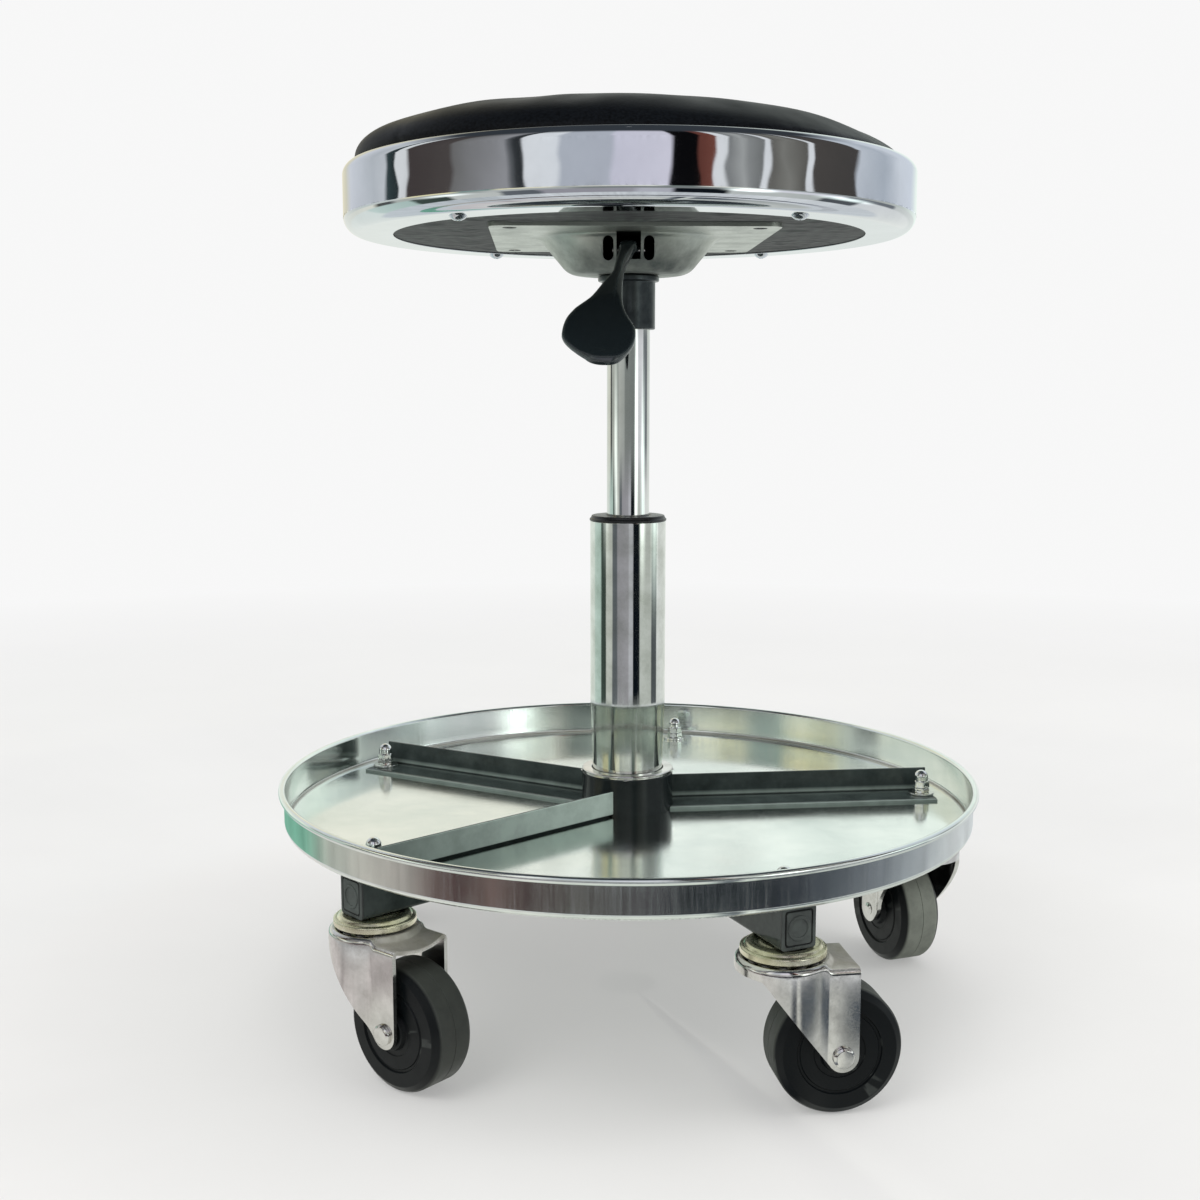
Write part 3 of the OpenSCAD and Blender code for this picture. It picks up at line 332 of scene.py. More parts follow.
@dataclass(frozen=True)
class Woven(Finish):
    """Thin black polypropylene cloth: flat tapes woven square, with a dull gloss."""

    tone: str = "080a09"
    light: str = "3d4741"
    thread_mm: float = 1.6
    depth_mm: float = 0.12
    pull_mm: tuple[float, float, float] = (70.0, 7.0, 7.0)

    def paint(self, add: Adder) -> dict:
        """Two sets of tapes cross, and each rises where it passes over the other."""
        point = add(COORDINATES)["Object"]
        tapes = [
            add("ShaderNodeTexWave", {
                "Vector": point, "Scale": per_mm(self.thread_mm) / WAVES_PER_UNIT,
                "Distortion": 1.2, "Detail": 1.0, "Detail Scale": 3.0,
            }, bands_direction=way)["Fac"]
            for way in ("X", "Y")
        ]
        crossed = add(MATHS, dict(enumerate(tapes)), operation="MULTIPLY")[0]
        pulled = add(MAPPING, {
            "Vector": point, "Scale": tuple(per_mm(size) for size in self.pull_mm),
        })[0]
        clouds = add(NOISE, {
            "Vector": pulled, "Scale": 1.0, "Detail": 3.0, "Distortion": 0.6,
        })[0]
        woven = add(RANGE, {"Value": crossed, "From Max": 0.6, "To Min": 0.35})[0]
        patches = add(RANGE, {"Value": clouds, "From Min": 0.42, "From Max": 0.66})[0]
        lit = add(MATHS, {0: woven, 1: patches}, **PRODUCT)[0]
        return {
            "Base Color": add(MIXED, {0: lit, 6: self.tone, 7: self.light}, data_type="RGBA")[2],
            "Normal": add(BUMP, {"Height": crossed, "Distance": self.depth_mm * MM})[0],
            "Roughness": 0.6,
        }


@dataclass(frozen=True)
class Timber(Finish):
    """Birch plywood: pale plies with thin darker glue lines, level with the board."""

    tone: str = "b8935f"
    ply: str = "7d5c38"
    ply_mm: float = 1.5
    grain_mm: tuple[float, float, float] = (40.0, 1.2, 1.2)

    def paint(self, add: Adder) -> dict:
        """Plies lie level, and grain runs along X."""
        point = add(COORDINATES)["Object"]
        plies = add("ShaderNodeTexWave", {
            "Vector": point, "Scale": per_mm(self.ply_mm) / WAVES_PER_UNIT, "Distortion": 0.4,
        }, bands_direction="Z")["Fac"]
        along = add(MAPPING, {
            "Vector": point, "Scale": tuple(per_mm(size) for size in self.grain_mm),
        })[0]
        grain = add(NOISE, {"Vector": along, "Scale": 1.0, "Detail": 4.0})[0]
        share = add(MATHS, {0: plies, 1: grain}, operation="MULTIPLY")[0]
        return {
            "Base Color": add(MIXED, {0: share, 6: self.tone, 7: self.ply}, data_type="RGBA")[2],
            "Normal": add(BUMP, {"Height": grain, "Strength": 0.4, "Distance": 0.1 * MM})[0],
            "Roughness": 0.6,
        }


# Bright chromium plate on a spun band: a clear, slightly blue mirror with faint buffing
CHROME = Metal(
    "chromium_plate", Slot.CHROME, tone="dfe2e6", cloud="cfd2d6", cloud_mm=60,
    rough=(0.02, 0.06), line_mm=(1.5, 1.5, 0.5), line_depth=0.001, dent_mm=40, dent_depth=0.05,
)
# Drawn tube, chromium plated without buffing: lines run up it and blur the mirror sideways
DRAWN_CHROME = Metal(
    "drawn_chrome_tube", Slot.CHROME, tone="dfe2de", cloud="bfc3bc", cloud_mm=14,
    rough=(0.03, 0.12), line_mm=(1.4, 1.4, 90), line_depth=0.008, dent_mm=30, dent_depth=0.03,
)
# Ground and hard chromed cylinder: an even bright mirror
GROUND_CHROME = Metal(
    "ground_chrome", Slot.CHROME, tone="dcdedc", cloud="cbcdca", cloud_mm=25,
    rough=(0.04, 0.09), line_mm=(0.7, 0.7, 60), line_depth=0.002,
)
# Ground steel of rods and balls: a plain bright grey
GROUND_STEEL = Metal(
    "ground_steel", Slot.GROUND_STEEL, tone="c4c6c6", cloud="acaeae", cloud_mm=8,
    rough=(0.08, 0.16), line_mm=(0.5, 0.5, 0.5), line_depth=0.001,
)
# Bright zinc plate over pressed steel: a wavy soft mirror, with yellowish dirt where it lies
ZINC = Metal(
    "bright_zinc_plate", Slot.ZINC, tone="e6e4e1", cloud="c6c4c0", cloud_mm=12,
    rough=(0.09, 0.2), line_mm=(1.2, 1.2, 1.2), line_depth=0.004, dent_mm=22, dent_depth=0.07,
    dirt_and_shade="77735f", dirt_and_shade_share=0.7,
)
# Bright zinc on small nuts and washers, buffed by handling
NUT_ZINC = Metal(
    "buffed_nut_zinc", Slot.ZINC, tone="f0f2f1", cloud="dadcda", cloud_mm=6,
    rough=(0.05, 0.11), line_mm=(1.0, 1.0, 1.0), line_depth=0.001,
)
# Zinc with a yellow chromate film: pale straw with greenish clouds
YELLOW_ZINC = Metal(
    "yellow_chromate_zinc", Slot.YELLOW_ZINC, tone="f1ecd6", cloud="d5d1b0", cloud_mm=15,
    rough=(0.2, 0.32), line_mm=(2.5, 2.5, 2.5), line_depth=0.003,
)
# Pressed tray of bright plated sheet: rolling lines soften the mirror, a dark line runs along its
# inner corner
TRAY_STEEL = Metal(
    "plated_tray_sheet", Slot.TRAY_STEEL, tone="f2f5f1", cloud="dde5e1", cloud_mm=70,
    rough=(0.09, 0.18), line_mm=(1.8, 1.8, 40), line_depth=0.012, dent_mm=60, dent_depth=0.15,
    dirt_and_shade="4c452a", dirt_and_shade_share=0.9,
)
# Galvanised seat pan: a dull, greenish light grey, darkened in the bowl by a painted shade and a
# painted reflection of the handle and the tube
PAN_STEEL = Metal(
    "galvanised_sheet", Slot.PAN_STEEL, tone="b3b8af", cloud="979c94", cloud_mm=16,
    rough=(0.28, 0.4), line_mm=(1.5, 1.5, 1.5), line_depth=0.004, dirt_and_shade="2f3a39", dirt_and_shade_share=1.0,
)
# Blackened steel of the socket and the lever's parts: a dark satin
GUNMETAL = Metal(
    "blackened_steel", Slot.GUNMETAL, tone="4a4f50", cloud="33383a", cloud_mm=9,
    rough=(0.26, 0.38), line_mm=(1.0, 1.0, 30), line_depth=0.004,
)
# Black gloss enamel on arms, hub and dividers: faint orange peel, edges lightened as a painted
# highlight, and a pale grey-green tone that is dust and painted highlight in the bars' corners and
# a painted reflection on the front bar's face
BLACK_ENAMEL = Coat(
    "black_gloss_enamel", Slot.BLACK_PAINT, tone="070b0e", wear_and_highlight="5d6a66", wear_and_highlight_share=0.4,
    dust="b4c6bc", dust_and_painted_light_share=0.95, patchy=0.8, rough=(0.1, 0.18), grain_mm=2.5,
    grain_depth=0.015, gloss_level=0.25,
)
# Black plastic of the handle, which hands have polished, with a painted rim highlight on its edges
HANDLE_PLASTIC = Coat(
    "handled_plastic", Slot.BLACK_PLASTIC, tone="161d20", wear_and_highlight="55605f", wear_and_highlight_share=0.9,
    rough=(0.16, 0.24), grain_mm=0.8, grain_depth=0.006, gloss_level=0.8,
)
# Moulded black plastic of plugs and collar: a fine spark texture
MOULDED_PLASTIC = Coat(
    "moulded_black_nylon", Slot.BLACK_PLASTIC, tone="0a0b0d", wear_and_highlight="3a3d3f", wear_and_highlight_share=0.4,
    dust="5a625e", dust_and_painted_light_share=0.6, patchy=0.5, rough=(0.28, 0.38), grain_mm=0.8,
    grain_depth=0.015, gloss_level=0.5,
)
# Black phosphated screws
BLACK_SCREWS = Coat(
    "black_phosphate", Slot.BLACK_SCREWS, tone="060606", wear_and_highlight="3b3b3b", wear_and_highlight_share=0.4,
    rough=(0.45, 0.6), grain_mm=0.5, grain_depth=0.02, gloss_level=0.1,
)
# Hard black wheel: matt on its turned faces, grey with floor dust on its tread, with a painted
# highlight on its edges
WHEEL_RUBBER = Coat(
    "hard_wheel_rubber", Slot.WHEEL_RUBBER, tone="0a0e10", wear_and_highlight="4a4e4b", wear_and_highlight_share=0.5,
    dust="8f948a", dust_and_painted_light_share=0.9, patchy=0.8, rough=(0.3, 0.5), grain_mm=0.9,
    grain_depth=0.03, cloud_mm=10, gloss_level=0.2,
)
# Soft black rubber of the buffer
SOFT_RUBBER = Coat(
    "soft_buffer_rubber", Slot.SOFT_RUBBER, tone="171717", wear_and_highlight="262626",
    rough=(0.6, 0.75), grain_mm=0.7, grain_depth=0.03,
)
VINYL = Vinyl("embossed_vinyl", Slot.VINYL)
COVER_CLOTH = Woven("woven_dust_cloth", Slot.COVER_CLOTH)
PLYWOOD = Timber("birch_plywood", Slot.PLYWOOD)


@dataclass(frozen=True)
class Extent:
    """Radius and height range of a round node that is centred on the column, in mm."""

    radius: float
    low: float
    high: float

    @classmethod
    def of(cls, node: str) -> "Extent":
        """Reads the extent of a node from its box in the frame."""
        low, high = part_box(node)
        return cls(high.x / MM, low.z / MM, high.z / MM)


# A corner of a profile: its radius, its height and its rounding, in mm
Corner = tuple[float, float, float]
# A point of a mesh, in mm
Point = tuple[float, float, float]


def arc(
    centre: tuple[float, float], radius: float, start: float, end: float, steps: int = 8
) -> list[Corner]:
    """Corners without rounding on an arc in a profile, from one angle in degrees to another."""
    turns = [radians(start + (end - start) * k / steps) for k in range(steps + 1)]
    return [(centre[0] + radius * cos(a), centre[1] + radius * sin(a), 0.0) for a in turns]


def circle(radius: float, z: float, count: int) -> list[Point]:
    """Points of a level circle about the Z axis."""
    turns = [FULL_TURN * k / count for k in range(count)]
    return [(radius * cos(a), radius * sin(a), z) for a in turns]


def shown(name: str, data: bpy.types.ID) -> Object:
    """A new object, linked to the scene."""
    made = bpy.data.objects.new(name, data)
    bpy.context.scene.collection.objects.link(made)
    return made


def keep_result(holder: Object) -> Mesh:
    """Turns an object's modifiers into a plain mesh and removes the object."""
    depsgraph = bpy.context.evaluated_depsgraph_get()
    made = bpy.data.meshes.new_from_object(holder.evaluated_get(depsgraph))
    bpy.data.objects.remove(holder)
    return made


def store_values(mesh: Mesh, name: str, values: Sequence[float]) -> None:
    """Keeps a value for each point of a mesh in an attribute."""
    store = mesh.attributes.get(name) or mesh.attributes.new(name, "FLOAT", "POINT")
    store.data.foreach_set("value", values)


class PartTree:
    """Geometry Nodes that make a part of one material from points that carry a value."""

    def __init__(self, name: str, value: str, inputs: dict[str, str]) -> None:
        """Starts the tree.

        Args:
            name: name of the tree.
            value: name of the points' value.
            inputs: what kind of thing each further input takes.
        """
        self.tree = bpy.data.node_groups.new(name, "GeometryNodeTree")
        self.value = value
        face = self.tree.interface
        face.new_socket("Points", in_out="INPUT", socket_type="NodeSocketGeometry")
        self.keys = {
            label: face.new_socket(
                label, in_out="INPUT", socket_type=f"NodeSocket{kind}"
            ).identifier for label, kind in {**inputs, "Material": "Material"}.items()
        }
        face.new_socket("Made", in_out="OUTPUT", socket_type="NodeSocketGeometry")
        self.given = self.add("NodeGroupInput")
        self.carried = self.add(
            "GeometryNodeInputNamedAttribute", {"Name": value}, data_type="FLOAT"
        )["Attribute"]

    def add(
        self, kind: str, links: dict | None = None, **settings: object
    ) -> Sequence[NodeSocket]:
        """Adds a node to the tree."""
        return add_node(self.tree, kind, links, **settings)

    def end(self, made: NodeSocket) -> None:
        """Makes the result real, gives it its material and ends the tree."""
        real = self.add("GeometryNodeRealizeInstances", {"Geometry": made})[0]
        self.add("NodeGroupOutput", {"Made": self.add("GeometryNodeSetMaterial", {
            "Geometry": real, "Material": self.given["Material"],
        })[0]})

    def run(
        self, name: str, points: Sequence[Point], links: Sequence[tuple[int, int]],
        values: Sequence[float], inputs: dict,
    ) -> Mesh:
        """Runs the tree on points and their links, and keeps the result as a plain mesh."""
        mesh = bpy.data.meshes.new(name)
        mesh.from_pydata(points, links, [])
        store_values(mesh, self.value, values)
        holder = shown(mesh.name, mesh)
        modifier = holder.modifiers.new("tree", "NODES")
        modifier.node_group = self.tree
        for label, value in inputs.items():
            modifier[self.keys[label]] = value
        return keep_result(holder)


class SpunTree(PartTree):
    """Geometry Nodes that turn a profile about the Z axis and round its corners."""

    RAIL = 10.0

    def __init__(self) -> None:
        """Builds the tree."""
        super().__init__("spun_part", "rounding", {"Segments": "Int", "Corner steps": "Int"})
        line = self.add("GeometryNodeMeshToCurve", {"Mesh": self.given["Points"]})
        rounded = self.add("GeometryNodeFilletCurve", {
            "Curve": line["Curve"], "Count": self.given["Corner steps"],
            "Radius": self.carried, "Limit Radius": True,
        }, mode="POLY")
        rail = self.add("GeometryNodeCurvePrimitiveCircle", {
            "Resolution": self.given["Segments"], "Radius": self.RAIL,
        })
        turned = self.add("GeometryNodeCurveToMesh", {
            "Curve": rail["Curve"], "Profile Curve": rounded["Curve"],
        })
        self.end(self.add("GeometryNodeMergeByDistance", {
            "Geometry": turned["Mesh"], "Distance": MERGE,
        })[0])

    def mesh(
        self, name: str, corners: Sequence[Corner], finish: Finish,
        segments: int = 128, steps: int = 4, closed: bool = True,
    ) -> Mesh:
        """Turns one profile.

        Args:
            name: name of the mesh.
            corners: radius, height and rounding of each corner.
            finish: surface of the part.
            segments: number of flats round the part.
            steps: stretches in each rounded corner.
            closed: whether the profile's ends join. An open one ends on the axis.

        Returns:
            The turned mesh, standing on the Z axis.
        """
        last = len(corners) - 1
        links = [(k, k + 1) for k in range(last)] + ([(last, 0)] if closed else [])
        return self.run(
            name, [(r - self.RAIL, -z, 0.0) for r, z, _ in corners], links,
            [rounding for *_, rounding in corners],
            {"Segments": segments, "Corner steps": steps, "Material": finish.material()},
        )


class PlacedTree(PartTree):
    """Geometry Nodes that set one part down at many places, each turned about Z."""

    def __init__(self) -> None:
        """Builds the tree."""
        super().__init__("placed_parts", "turn", {"Part": "Object"})
        upright = self.add("ShaderNodeCombineXYZ", {"Z": self.carried})[0]
        facing = self.add("FunctionNodeEulerToRotation", {"Euler": upright})["Rotation"]
        part = self.add("GeometryNodeObjectInfo", {"Object": self.given["Part"]})["Geometry"]
        self.end(self.add("GeometryNodeInstanceOnPoints", {
            "Points": self.given["Points"], "Instance": part, "Rotation": facing,
        })[0])

    def mesh(self, part: Mesh, places: Sequence[tuple[Vector, float]], finish: Finish) -> Mesh:
        """One mesh of a part that stands at each place, turned by so many radians there."""
        holder = bpy.data.objects.new("part_to_place", part)
        made = self.run(
            part.name, [tuple(place) for place, _ in places], [], [turn for _, turn in places],
            {"Part": holder, "Material": finish.material()},
        )
        bpy.data.objects.remove(holder)
        return made


def modified(mesh: Mesh, *modifiers: tuple[str, dict]) -> Mesh:
    """Applies modifiers to a mesh, each given by its type and its settings."""
    holder = shown(mesh.name, mesh)
    for kind, settings in modifiers:
        modifier = holder.modifiers.new(kind.lower(), kind)
        for name, value in settings.items():
            setattr(modifier, name, value)
    return keep_result(holder)


def softened(width: float, angle: float) -> tuple[str, dict]:
    """Bevel, so wide in mm, of the edges that turn by more than an angle in degrees."""
    return "BEVEL", {"width": width, "segments": 2, "limit_method": "ANGLE",
                     "angle_limit": radians(angle)}


def settle(
    name: str, mesh: Mesh, finish: Finish, body: str,
    stands_for: Iterable[str] = (), place: Matrix | None = None,
    dust: Callable[[Vector], float] | None = None,
) -> Object:
    """Makes a finished piece of the stool, with its object at the origin, from its mesh.

    Args:
        name: name of the piece.
        mesh: its mesh, which is copied.
        finish: its surface.
        body: the body that carries it.
        stands_for: the nodes that it replaces.
        place: where the mesh goes.
        dust: gives the marks at a point of the mesh, from 0 to 1: dust, dirt, a dark corner line,
            painted shade, painted highlights and painted reflections.
    """
    if dust:
        store_values(mesh, DUST_AND_PAINTED_LIGHT, [dust(vert.co) for vert in mesh.vertices])
    own = moved(mesh, Matrix.Scale(MM, 4) @ (place or Matrix.Identity(4)))
    work = bmesh.new()
    work.from_mesh(own)
    bmesh.ops.recalc_face_normals(work, faces=work.faces)
    work.to_mesh(own)
    work.free()
    own.shade_smooth()
    own.set_sharp_from_angle(angle=SHARP_ANGLE)
    own = modified(own, (
        "WEIGHTED_NORMAL", {"mode": "FACE_AREA", "weight": 50, "keep_sharp": True}
    ))
    own.name = name
    own.materials.clear()
    own.materials.append(finish.material())
    piece = shown(name, own)
    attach(piece, body)
    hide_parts(*stands_for)
    LOG.info("%s: %d faces on %s", name, len(own.polygons), body)
    return piece


def dress(finish: Finish, *nodes: str) -> None:
    """Gives nodes of the frame, which stay as they are, their surface."""
    for node in nodes:
        own = frame["nodes"][node]
        own.data.materials.clear()
        own.data.materials.append(finish.material())
        LOG.info("%s: kept from the frame", node)


def skin(
    name: str, rows: Sequence[Sequence[Point]], closed: bool = True, capped: bool = False
) -> Mesh:
    """Surface through rows of points, all with the same number of points.

    Args:
        name: name of the mesh.
        rows: the rows, whose points run counterclockwise seen from outside and above.
        closed: whether each row's last point joins its first.
        capped: whether the first and the last row are filled.

    Returns:
        The surface, which faces outwards where rows run outwards or down.
    """
    work = bmesh.new()
    verts = [[work.verts.new(point) for point in row] for row in rows]
    count = len(rows[0])
    for first, second in zip(verts, verts[1:]):
        for k in range(count if closed else count - 1):
            after = (k + 1) % count
            work.faces.new((first[k], second[k], second[after], first[after]))
    if capped:
        work.faces.new(verts[0])
        work.faces.new(verts[-1][::-1])
    mesh = bpy.data.meshes.new(name)
    work.to_mesh(mesh)
    work.free()
    return mesh


def joined(name: str, parts: Sequence[Mesh], merge: float = 0.0) -> Mesh:
    """Joins meshes into one and merges the points that are no further apart than merge."""
    work = bmesh.new()
    for part in parts:
        work.from_mesh(part)
    if merge:
        bmesh.ops.remove_doubles(work, verts=work.verts, dist=merge)
    mesh = bpy.data.meshes.new(name)
    work.to_mesh(mesh)
    work.free()
    return mesh


def moved(mesh: Mesh, place: Matrix) -> Mesh:
    """A copy of a mesh, moved by a matrix."""
    own = mesh.copy()
    own.transform(place)
    return own


def block(name: str, low: Point, high: Point) -> Mesh:
    """Box between two corners."""
    rows = [
        [(low[0], low[1], z), (high[0], low[1], z), (high[0], high[1], z), (low[0], high[1], z)]
        for z in (high[2], low[2])
    ]
    return skin(name, rows, capped=True)


def cut_from(mesh: Mesh, cutters: Sequence[Mesh]) -> Mesh:
    """Cuts closed meshes out of another."""
    holder = bpy.data.objects.new("cutter", joined("cutter", cutters))
    made = modified(mesh, ("BOOLEAN", {"object": holder, "solver": "EXACT", "use_self": True}))
    bpy.data.objects.remove(holder)
    return made


@dataclass(frozen=True)
class Blow:
    """Cloth simulation that tells how foam's pressure swells a closed skin.

    The skin's whole surface is cloth. It is held below a height, and each place's move is
    limited and then smoothed over its neighbours.
    """

    voxel: float = 5.0
    fade: float = 5.0
    frames: int = 20
    neighbours: int = 60
    spread: float = 13.0
    # Vinyl on knitted cloth: it hardly stretches, and it is cut a hundredth large
    cloth: tuple[tuple[str, object], ...] = (
        ("quality", 6), ("mass", 0.25), ("tension_stiffness", 15),
        ("compression_stiffness", 15), ("shear_stiffness", 5), ("bending_stiffness", 0.5),
        ("use_pressure", True), ("uniform_pressure_force", 4.0), ("shrink_min", -0.01),
    )

    def moves(self, mesh: Mesh, held_below: float, most: float) -> Callable[[Vector], Vector]:
        """Blows a mesh up, which is left as it is, and gives the move near a point.

        Args:
            mesh: the mesh, in mm.
            held_below: height under which the cloth is held, in mm.
            most: how far a place may move, in mm.

        Returns:
            A function that gives the move near a point, in mm.
        """
        start = modified(moved(mesh, Matrix.Scale(MM, 4)), (
            "REMESH", {"mode": "VOXEL", "voxel_size": self.voxel * MM}
        ))
        holder = shown("cloth", start)
        before = [vert.co.copy() for vert in start.vertices]
        held = holder.vertex_groups.new(name="held")
        for k, place in enumerate(before):
            held.add([k], 1 - ease((place.z / MM - held_below) / self.fade), "REPLACE")
        cloth = holder.modifiers.new("cloth", "CLOTH")
        for name, value in self.cloth:
            setattr(cloth.settings, name, value)
        cloth.settings.vertex_group_mass = held.name
        cloth.settings.effector_weights.gravity = 0.0
        cloth.collision_settings.use_collision = False
        cloth.point_cache.frame_start, cloth.point_cache.frame_end = 1, self.frames
        for step in range(1, self.frames + 1):
            bpy.context.scene.frame_set(step)
        after = keep_result(holder)
        bpy.context.scene.frame_set(1)
        tree, moves = KDTree(len(before)), []
        for k, (old, vert) in enumerate(zip(before, after.vertices)):
            tree.insert(old, k)
            move = (vert.co - old) / MM
            moves.append(move * min(1.0, most / max(move.length, 1e-6)))
        tree.balance()

        def move_near(point: Vector) -> Vector:
            total, weights = Vector(), 0.0
            for _, k, away in tree.find_n(point * MM, self.neighbours):
                weight = exp(-((away / (self.spread * MM)) ** 2))
                total += moves[k] * weight
                weights += weight
            return total / weights

        return move_near


def mix(first: float, second: float, share: float) -> float:
    """Value at a share of the way from one number to another."""
    return first + (second - first) * share


def ease(value: float) -> float:
    """Smooth step from 0 to 1."""
    held = min(1.0, max(0.0, value))
    return held * held * (3 - 2 * held)


def rounded_outline(corners: Sequence[Corner], steps: int = 5) -> list[tuple[float, float]]:
    """Rounds an outline's corners, each given by two coordinates and its rounding."""
    points = []
    count = len(corners)
    for k in range(count):
        here = Vector(corners[k][:2])
        before = (Vector(corners[k - 1][:2]) - here).normalized()
        after = (Vector(corners[(k + 1) % count][:2]) - here).normalized()
        radius = corners[k][2]
        if radius == 0:
            points.append(tuple(here))
            continue
        half = before.angle(after) / 2
        centre = here + (before + after).normalized() * radius / sin(half)
        first = here + before * radius / tan(half) - centre
        last = here + after * radius / tan(half) - centre
        turn = first.angle_signed(last)
        for step in range(steps + 1):
            bent = first.copy()
            bent.rotate(Matrix.Rotation(-turn * step / steps, 2))
            points.append(tuple(centre + bent))
    return points


@dataclass
class Assembly:
    """A sub-assembly of the stool, with the two trees that turn and place its parts."""

    spun: SpunTree
    placed: PlacedTree

    def spin(
        self, name: str, node: str, finish: Finish, body: str, corners: Sequence[Corner],
        segments: int, steps: int = 4, dust: Callable[[Vector], float] | None = None,
    ) -> None:
        """Settles a turned piece on a body in the place of a node."""
        mesh = self.spun.mesh(node, corners, finish, segments, steps)
        settle(name, mesh, finish, body, [node], dust=dust)

    def set_down(
        self, name: str, node: str, finish: Finish, body: str, part: Mesh,
        places: Sequence[tuple[Vector, float]], dust: Callable[[Vector], float] | None = None,
    ) -> None:
        """Settles a piece of equal parts on a body in the place of a node."""
        settle(name, self.placed.mesh(part, places, finish), finish, body, [node], dust=dust)


CASTER_NAMES = ("right", "rear", "rear_left", "front_left", "front_right")


@dataclass(frozen=True)
class CasterPlace:
    """Where a caster stands and which way its wheel trails."""

    swivel: Vector
    trail: float
    turn: float
    arm_turn: float

    @classmethod
    def of(cls, name: str) -> "CasterPlace":
        """Reads a caster's place from the frame's joints."""
        joints = {joint["name"]: joint for joint in frame["joints"]}
        swivel, wheel = (
            Vector(joints[f"{kind}_{name}"]["pos_m"]) / MM
            for kind in ("caster_swivel", "wheel_spin")
        )
        way = wheel - swivel
        swivel.z = 0
        return cls(swivel, hypot(way.x, way.y), atan2(way.y, way.x), atan2(swivel.y, swivel.x))


@dataclass
class Casters(Assembly):
    """Five swivel casters: pressed forks, riveted axles and moulded wheels."""

    head_r: float = 27.5
    head_rise: float = 3.0
    half_w: float = 21.6
    sweep_r: float = 12.0
    tip_r: float = 9.0
    lip: float = 7.5
    # Where the lip ends and the leg's slope starts, as shares of the head's radius
    lip_end: float = 0.85
    slope_start: float = 0.62
    sheet_t: float = 2.5
    bend_r: float = 3.6
    bow: float = 2.0
    sag: float = 2.6
    # Radii of the plate's rings of points, from the pin's hole to past the head's step
    rings: tuple = (6.7, 14, 20, 24, 25.4, 26.2, 27, 27.8, 28.6, 30)
    wheel_r: float = 37.5
    wheel_face: float = 15.0
    boss_r: float = 10.5
    boss_face: float = 18.5
    bore_r: float = 5.8
    axle_r: float = 4.0
    head_reach: float = 6.2
    # Share of dust on each wheel's tread
    treads: dict[str, float] = field(default_factory=lambda: {
        "right": 0.8, "rear": 0.6, "rear_left": 0.6, "front_left": 0.16, "front_right": 0.2,
    })

    def build(self) -> None:
        """Builds every caster, whose X runs the way its wheel trails."""
        wheel, axle = self.wheel(), self.axle()
        for name in CASTER_NAMES:
            place = CasterPlace.of(name)
            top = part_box(f"fork_{name}")[1].z / MM
            stand = Matrix.Translation(place.swivel) @ Matrix.Rotation(place.turn, 4, "Z")
            on_axle = (
                stand @ Matrix.Translation((place.trail, 0, self.wheel_r))
                @ Matrix.Rotation(pi / 2, 4, "X")
            )
            carrier, roller = f"caster_{name}", f"rolling_{name}"
            settle(f"pressed_fork_{name}", self.fork(place.trail, top), ZINC, carrier,
                   [f"fork_{name}"], stand, partial(self.plate_dirt, top))
            settle(f"round_axle_{name}", axle, ZINC, carrier, [f"axle_{name}"], on_axle)
            settle(f"moulded_wheel_{name}", wheel, WHEEL_RUBBER, roller, [f"wheel_{name}"],
                   on_axle, partial(self.tread_dust, self.treads[name]))
            dress(ZINC, f"wheel_bush_{name}")

    def outline(self, trail: float) -> list[tuple[Point, Point]]:
        """Points round the fork's skirt and their outward directions, from above."""
        rear = trail + self.tip_r
        sweep_y = self.half_w + self.sweep_r
        sweep_x = sqrt((self.head_r + self.sweep_r) ** 2 - sweep_y ** 2)
        meet = atan2(sweep_y, sweep_x)
        side = []
        for k in range(15):
            x = mix(rear, sweep_x, 1 - cos(pi / 2 * k / 14))
            side.append(((x, self.half_w), (0, 1)))
        for k in range(1, 7):
            a = mix(-pi / 2, meet - pi, k / 6)
            way = (-cos(a), -sin(a))
            side.append(
                ((sweep_x - self.sweep_r * way[0], sweep_y - self.sweep_r * way[1]), way)
            )
        for k in range(1, 25):
            a = mix(meet, pi, k / 24)
            way = (cos(a), sin(a))
            side.append(((self.head_r * way[0], self.head_r * way[1]), way))
        other = [((x, -y), (nx, -ny)) for (x, y), (nx, ny) in side[-2::-1]]
        return side + other

    def skirt_low(self, x: float, trail: float, top: float) -> float:
        """Height of the skirt's lower edge at a distance along the fork."""
        lip_z = top - self.lip
        start = Vector((-self.head_r * self.slope_start, lip_z - self.lip * 0.1))
        tip = Vector((trail, self.wheel_r))
        away = tip - start
        heading = atan2(away.y, away.x) - asin(self.tip_r / away.length)
        reach = sqrt(away.length ** 2 - self.tip_r ** 2)
        meet = start + reach * Vector((cos(heading), sin(heading)))
        if x <= -self.head_r * self.lip_end:
            return lip_z
        if x <= start.x:
            share = (x + self.head_r * self.lip_end) / (start.x + self.head_r * self.lip_end)
            return mix(lip_z, start.y, share * share)
        if x <= meet.x:
            return mix(start.y, meet.y, (x - start.x) / (meet.x - start.x))
        drop = self.tip_r ** 2 - (min(x, trail + self.tip_r) - trail) ** 2
        return self.wheel_r - sqrt(max(0.0, drop))

    def plate_z(self, x: float, y: float, trail: float, top: float) -> float:
        """Height of the plate's upper face: a raised head and a rear edge that sags."""
        step = self.head_rise * ease((hypot(x, y) - self.head_r + 2.1) / 3.2)
        across = y / (self.half_w - self.bend_r)
        sag = self.sag * ease((x - trail - self.tip_r + 12) / 13) * max(0.0, 1 - across ** 2)
        return top - step - sag

    def plate_dirt(self, top: float, point: Vector) -> float:
        """Dirt lies on the plate behind the swivel cup."""
        near = ease((point.z - top + self.head_rise + self.sag + 1.5) / 1.0)
        return near * ease((point.x - 14) / 12) * ease((self.half_w - abs(point.y)) / 3)

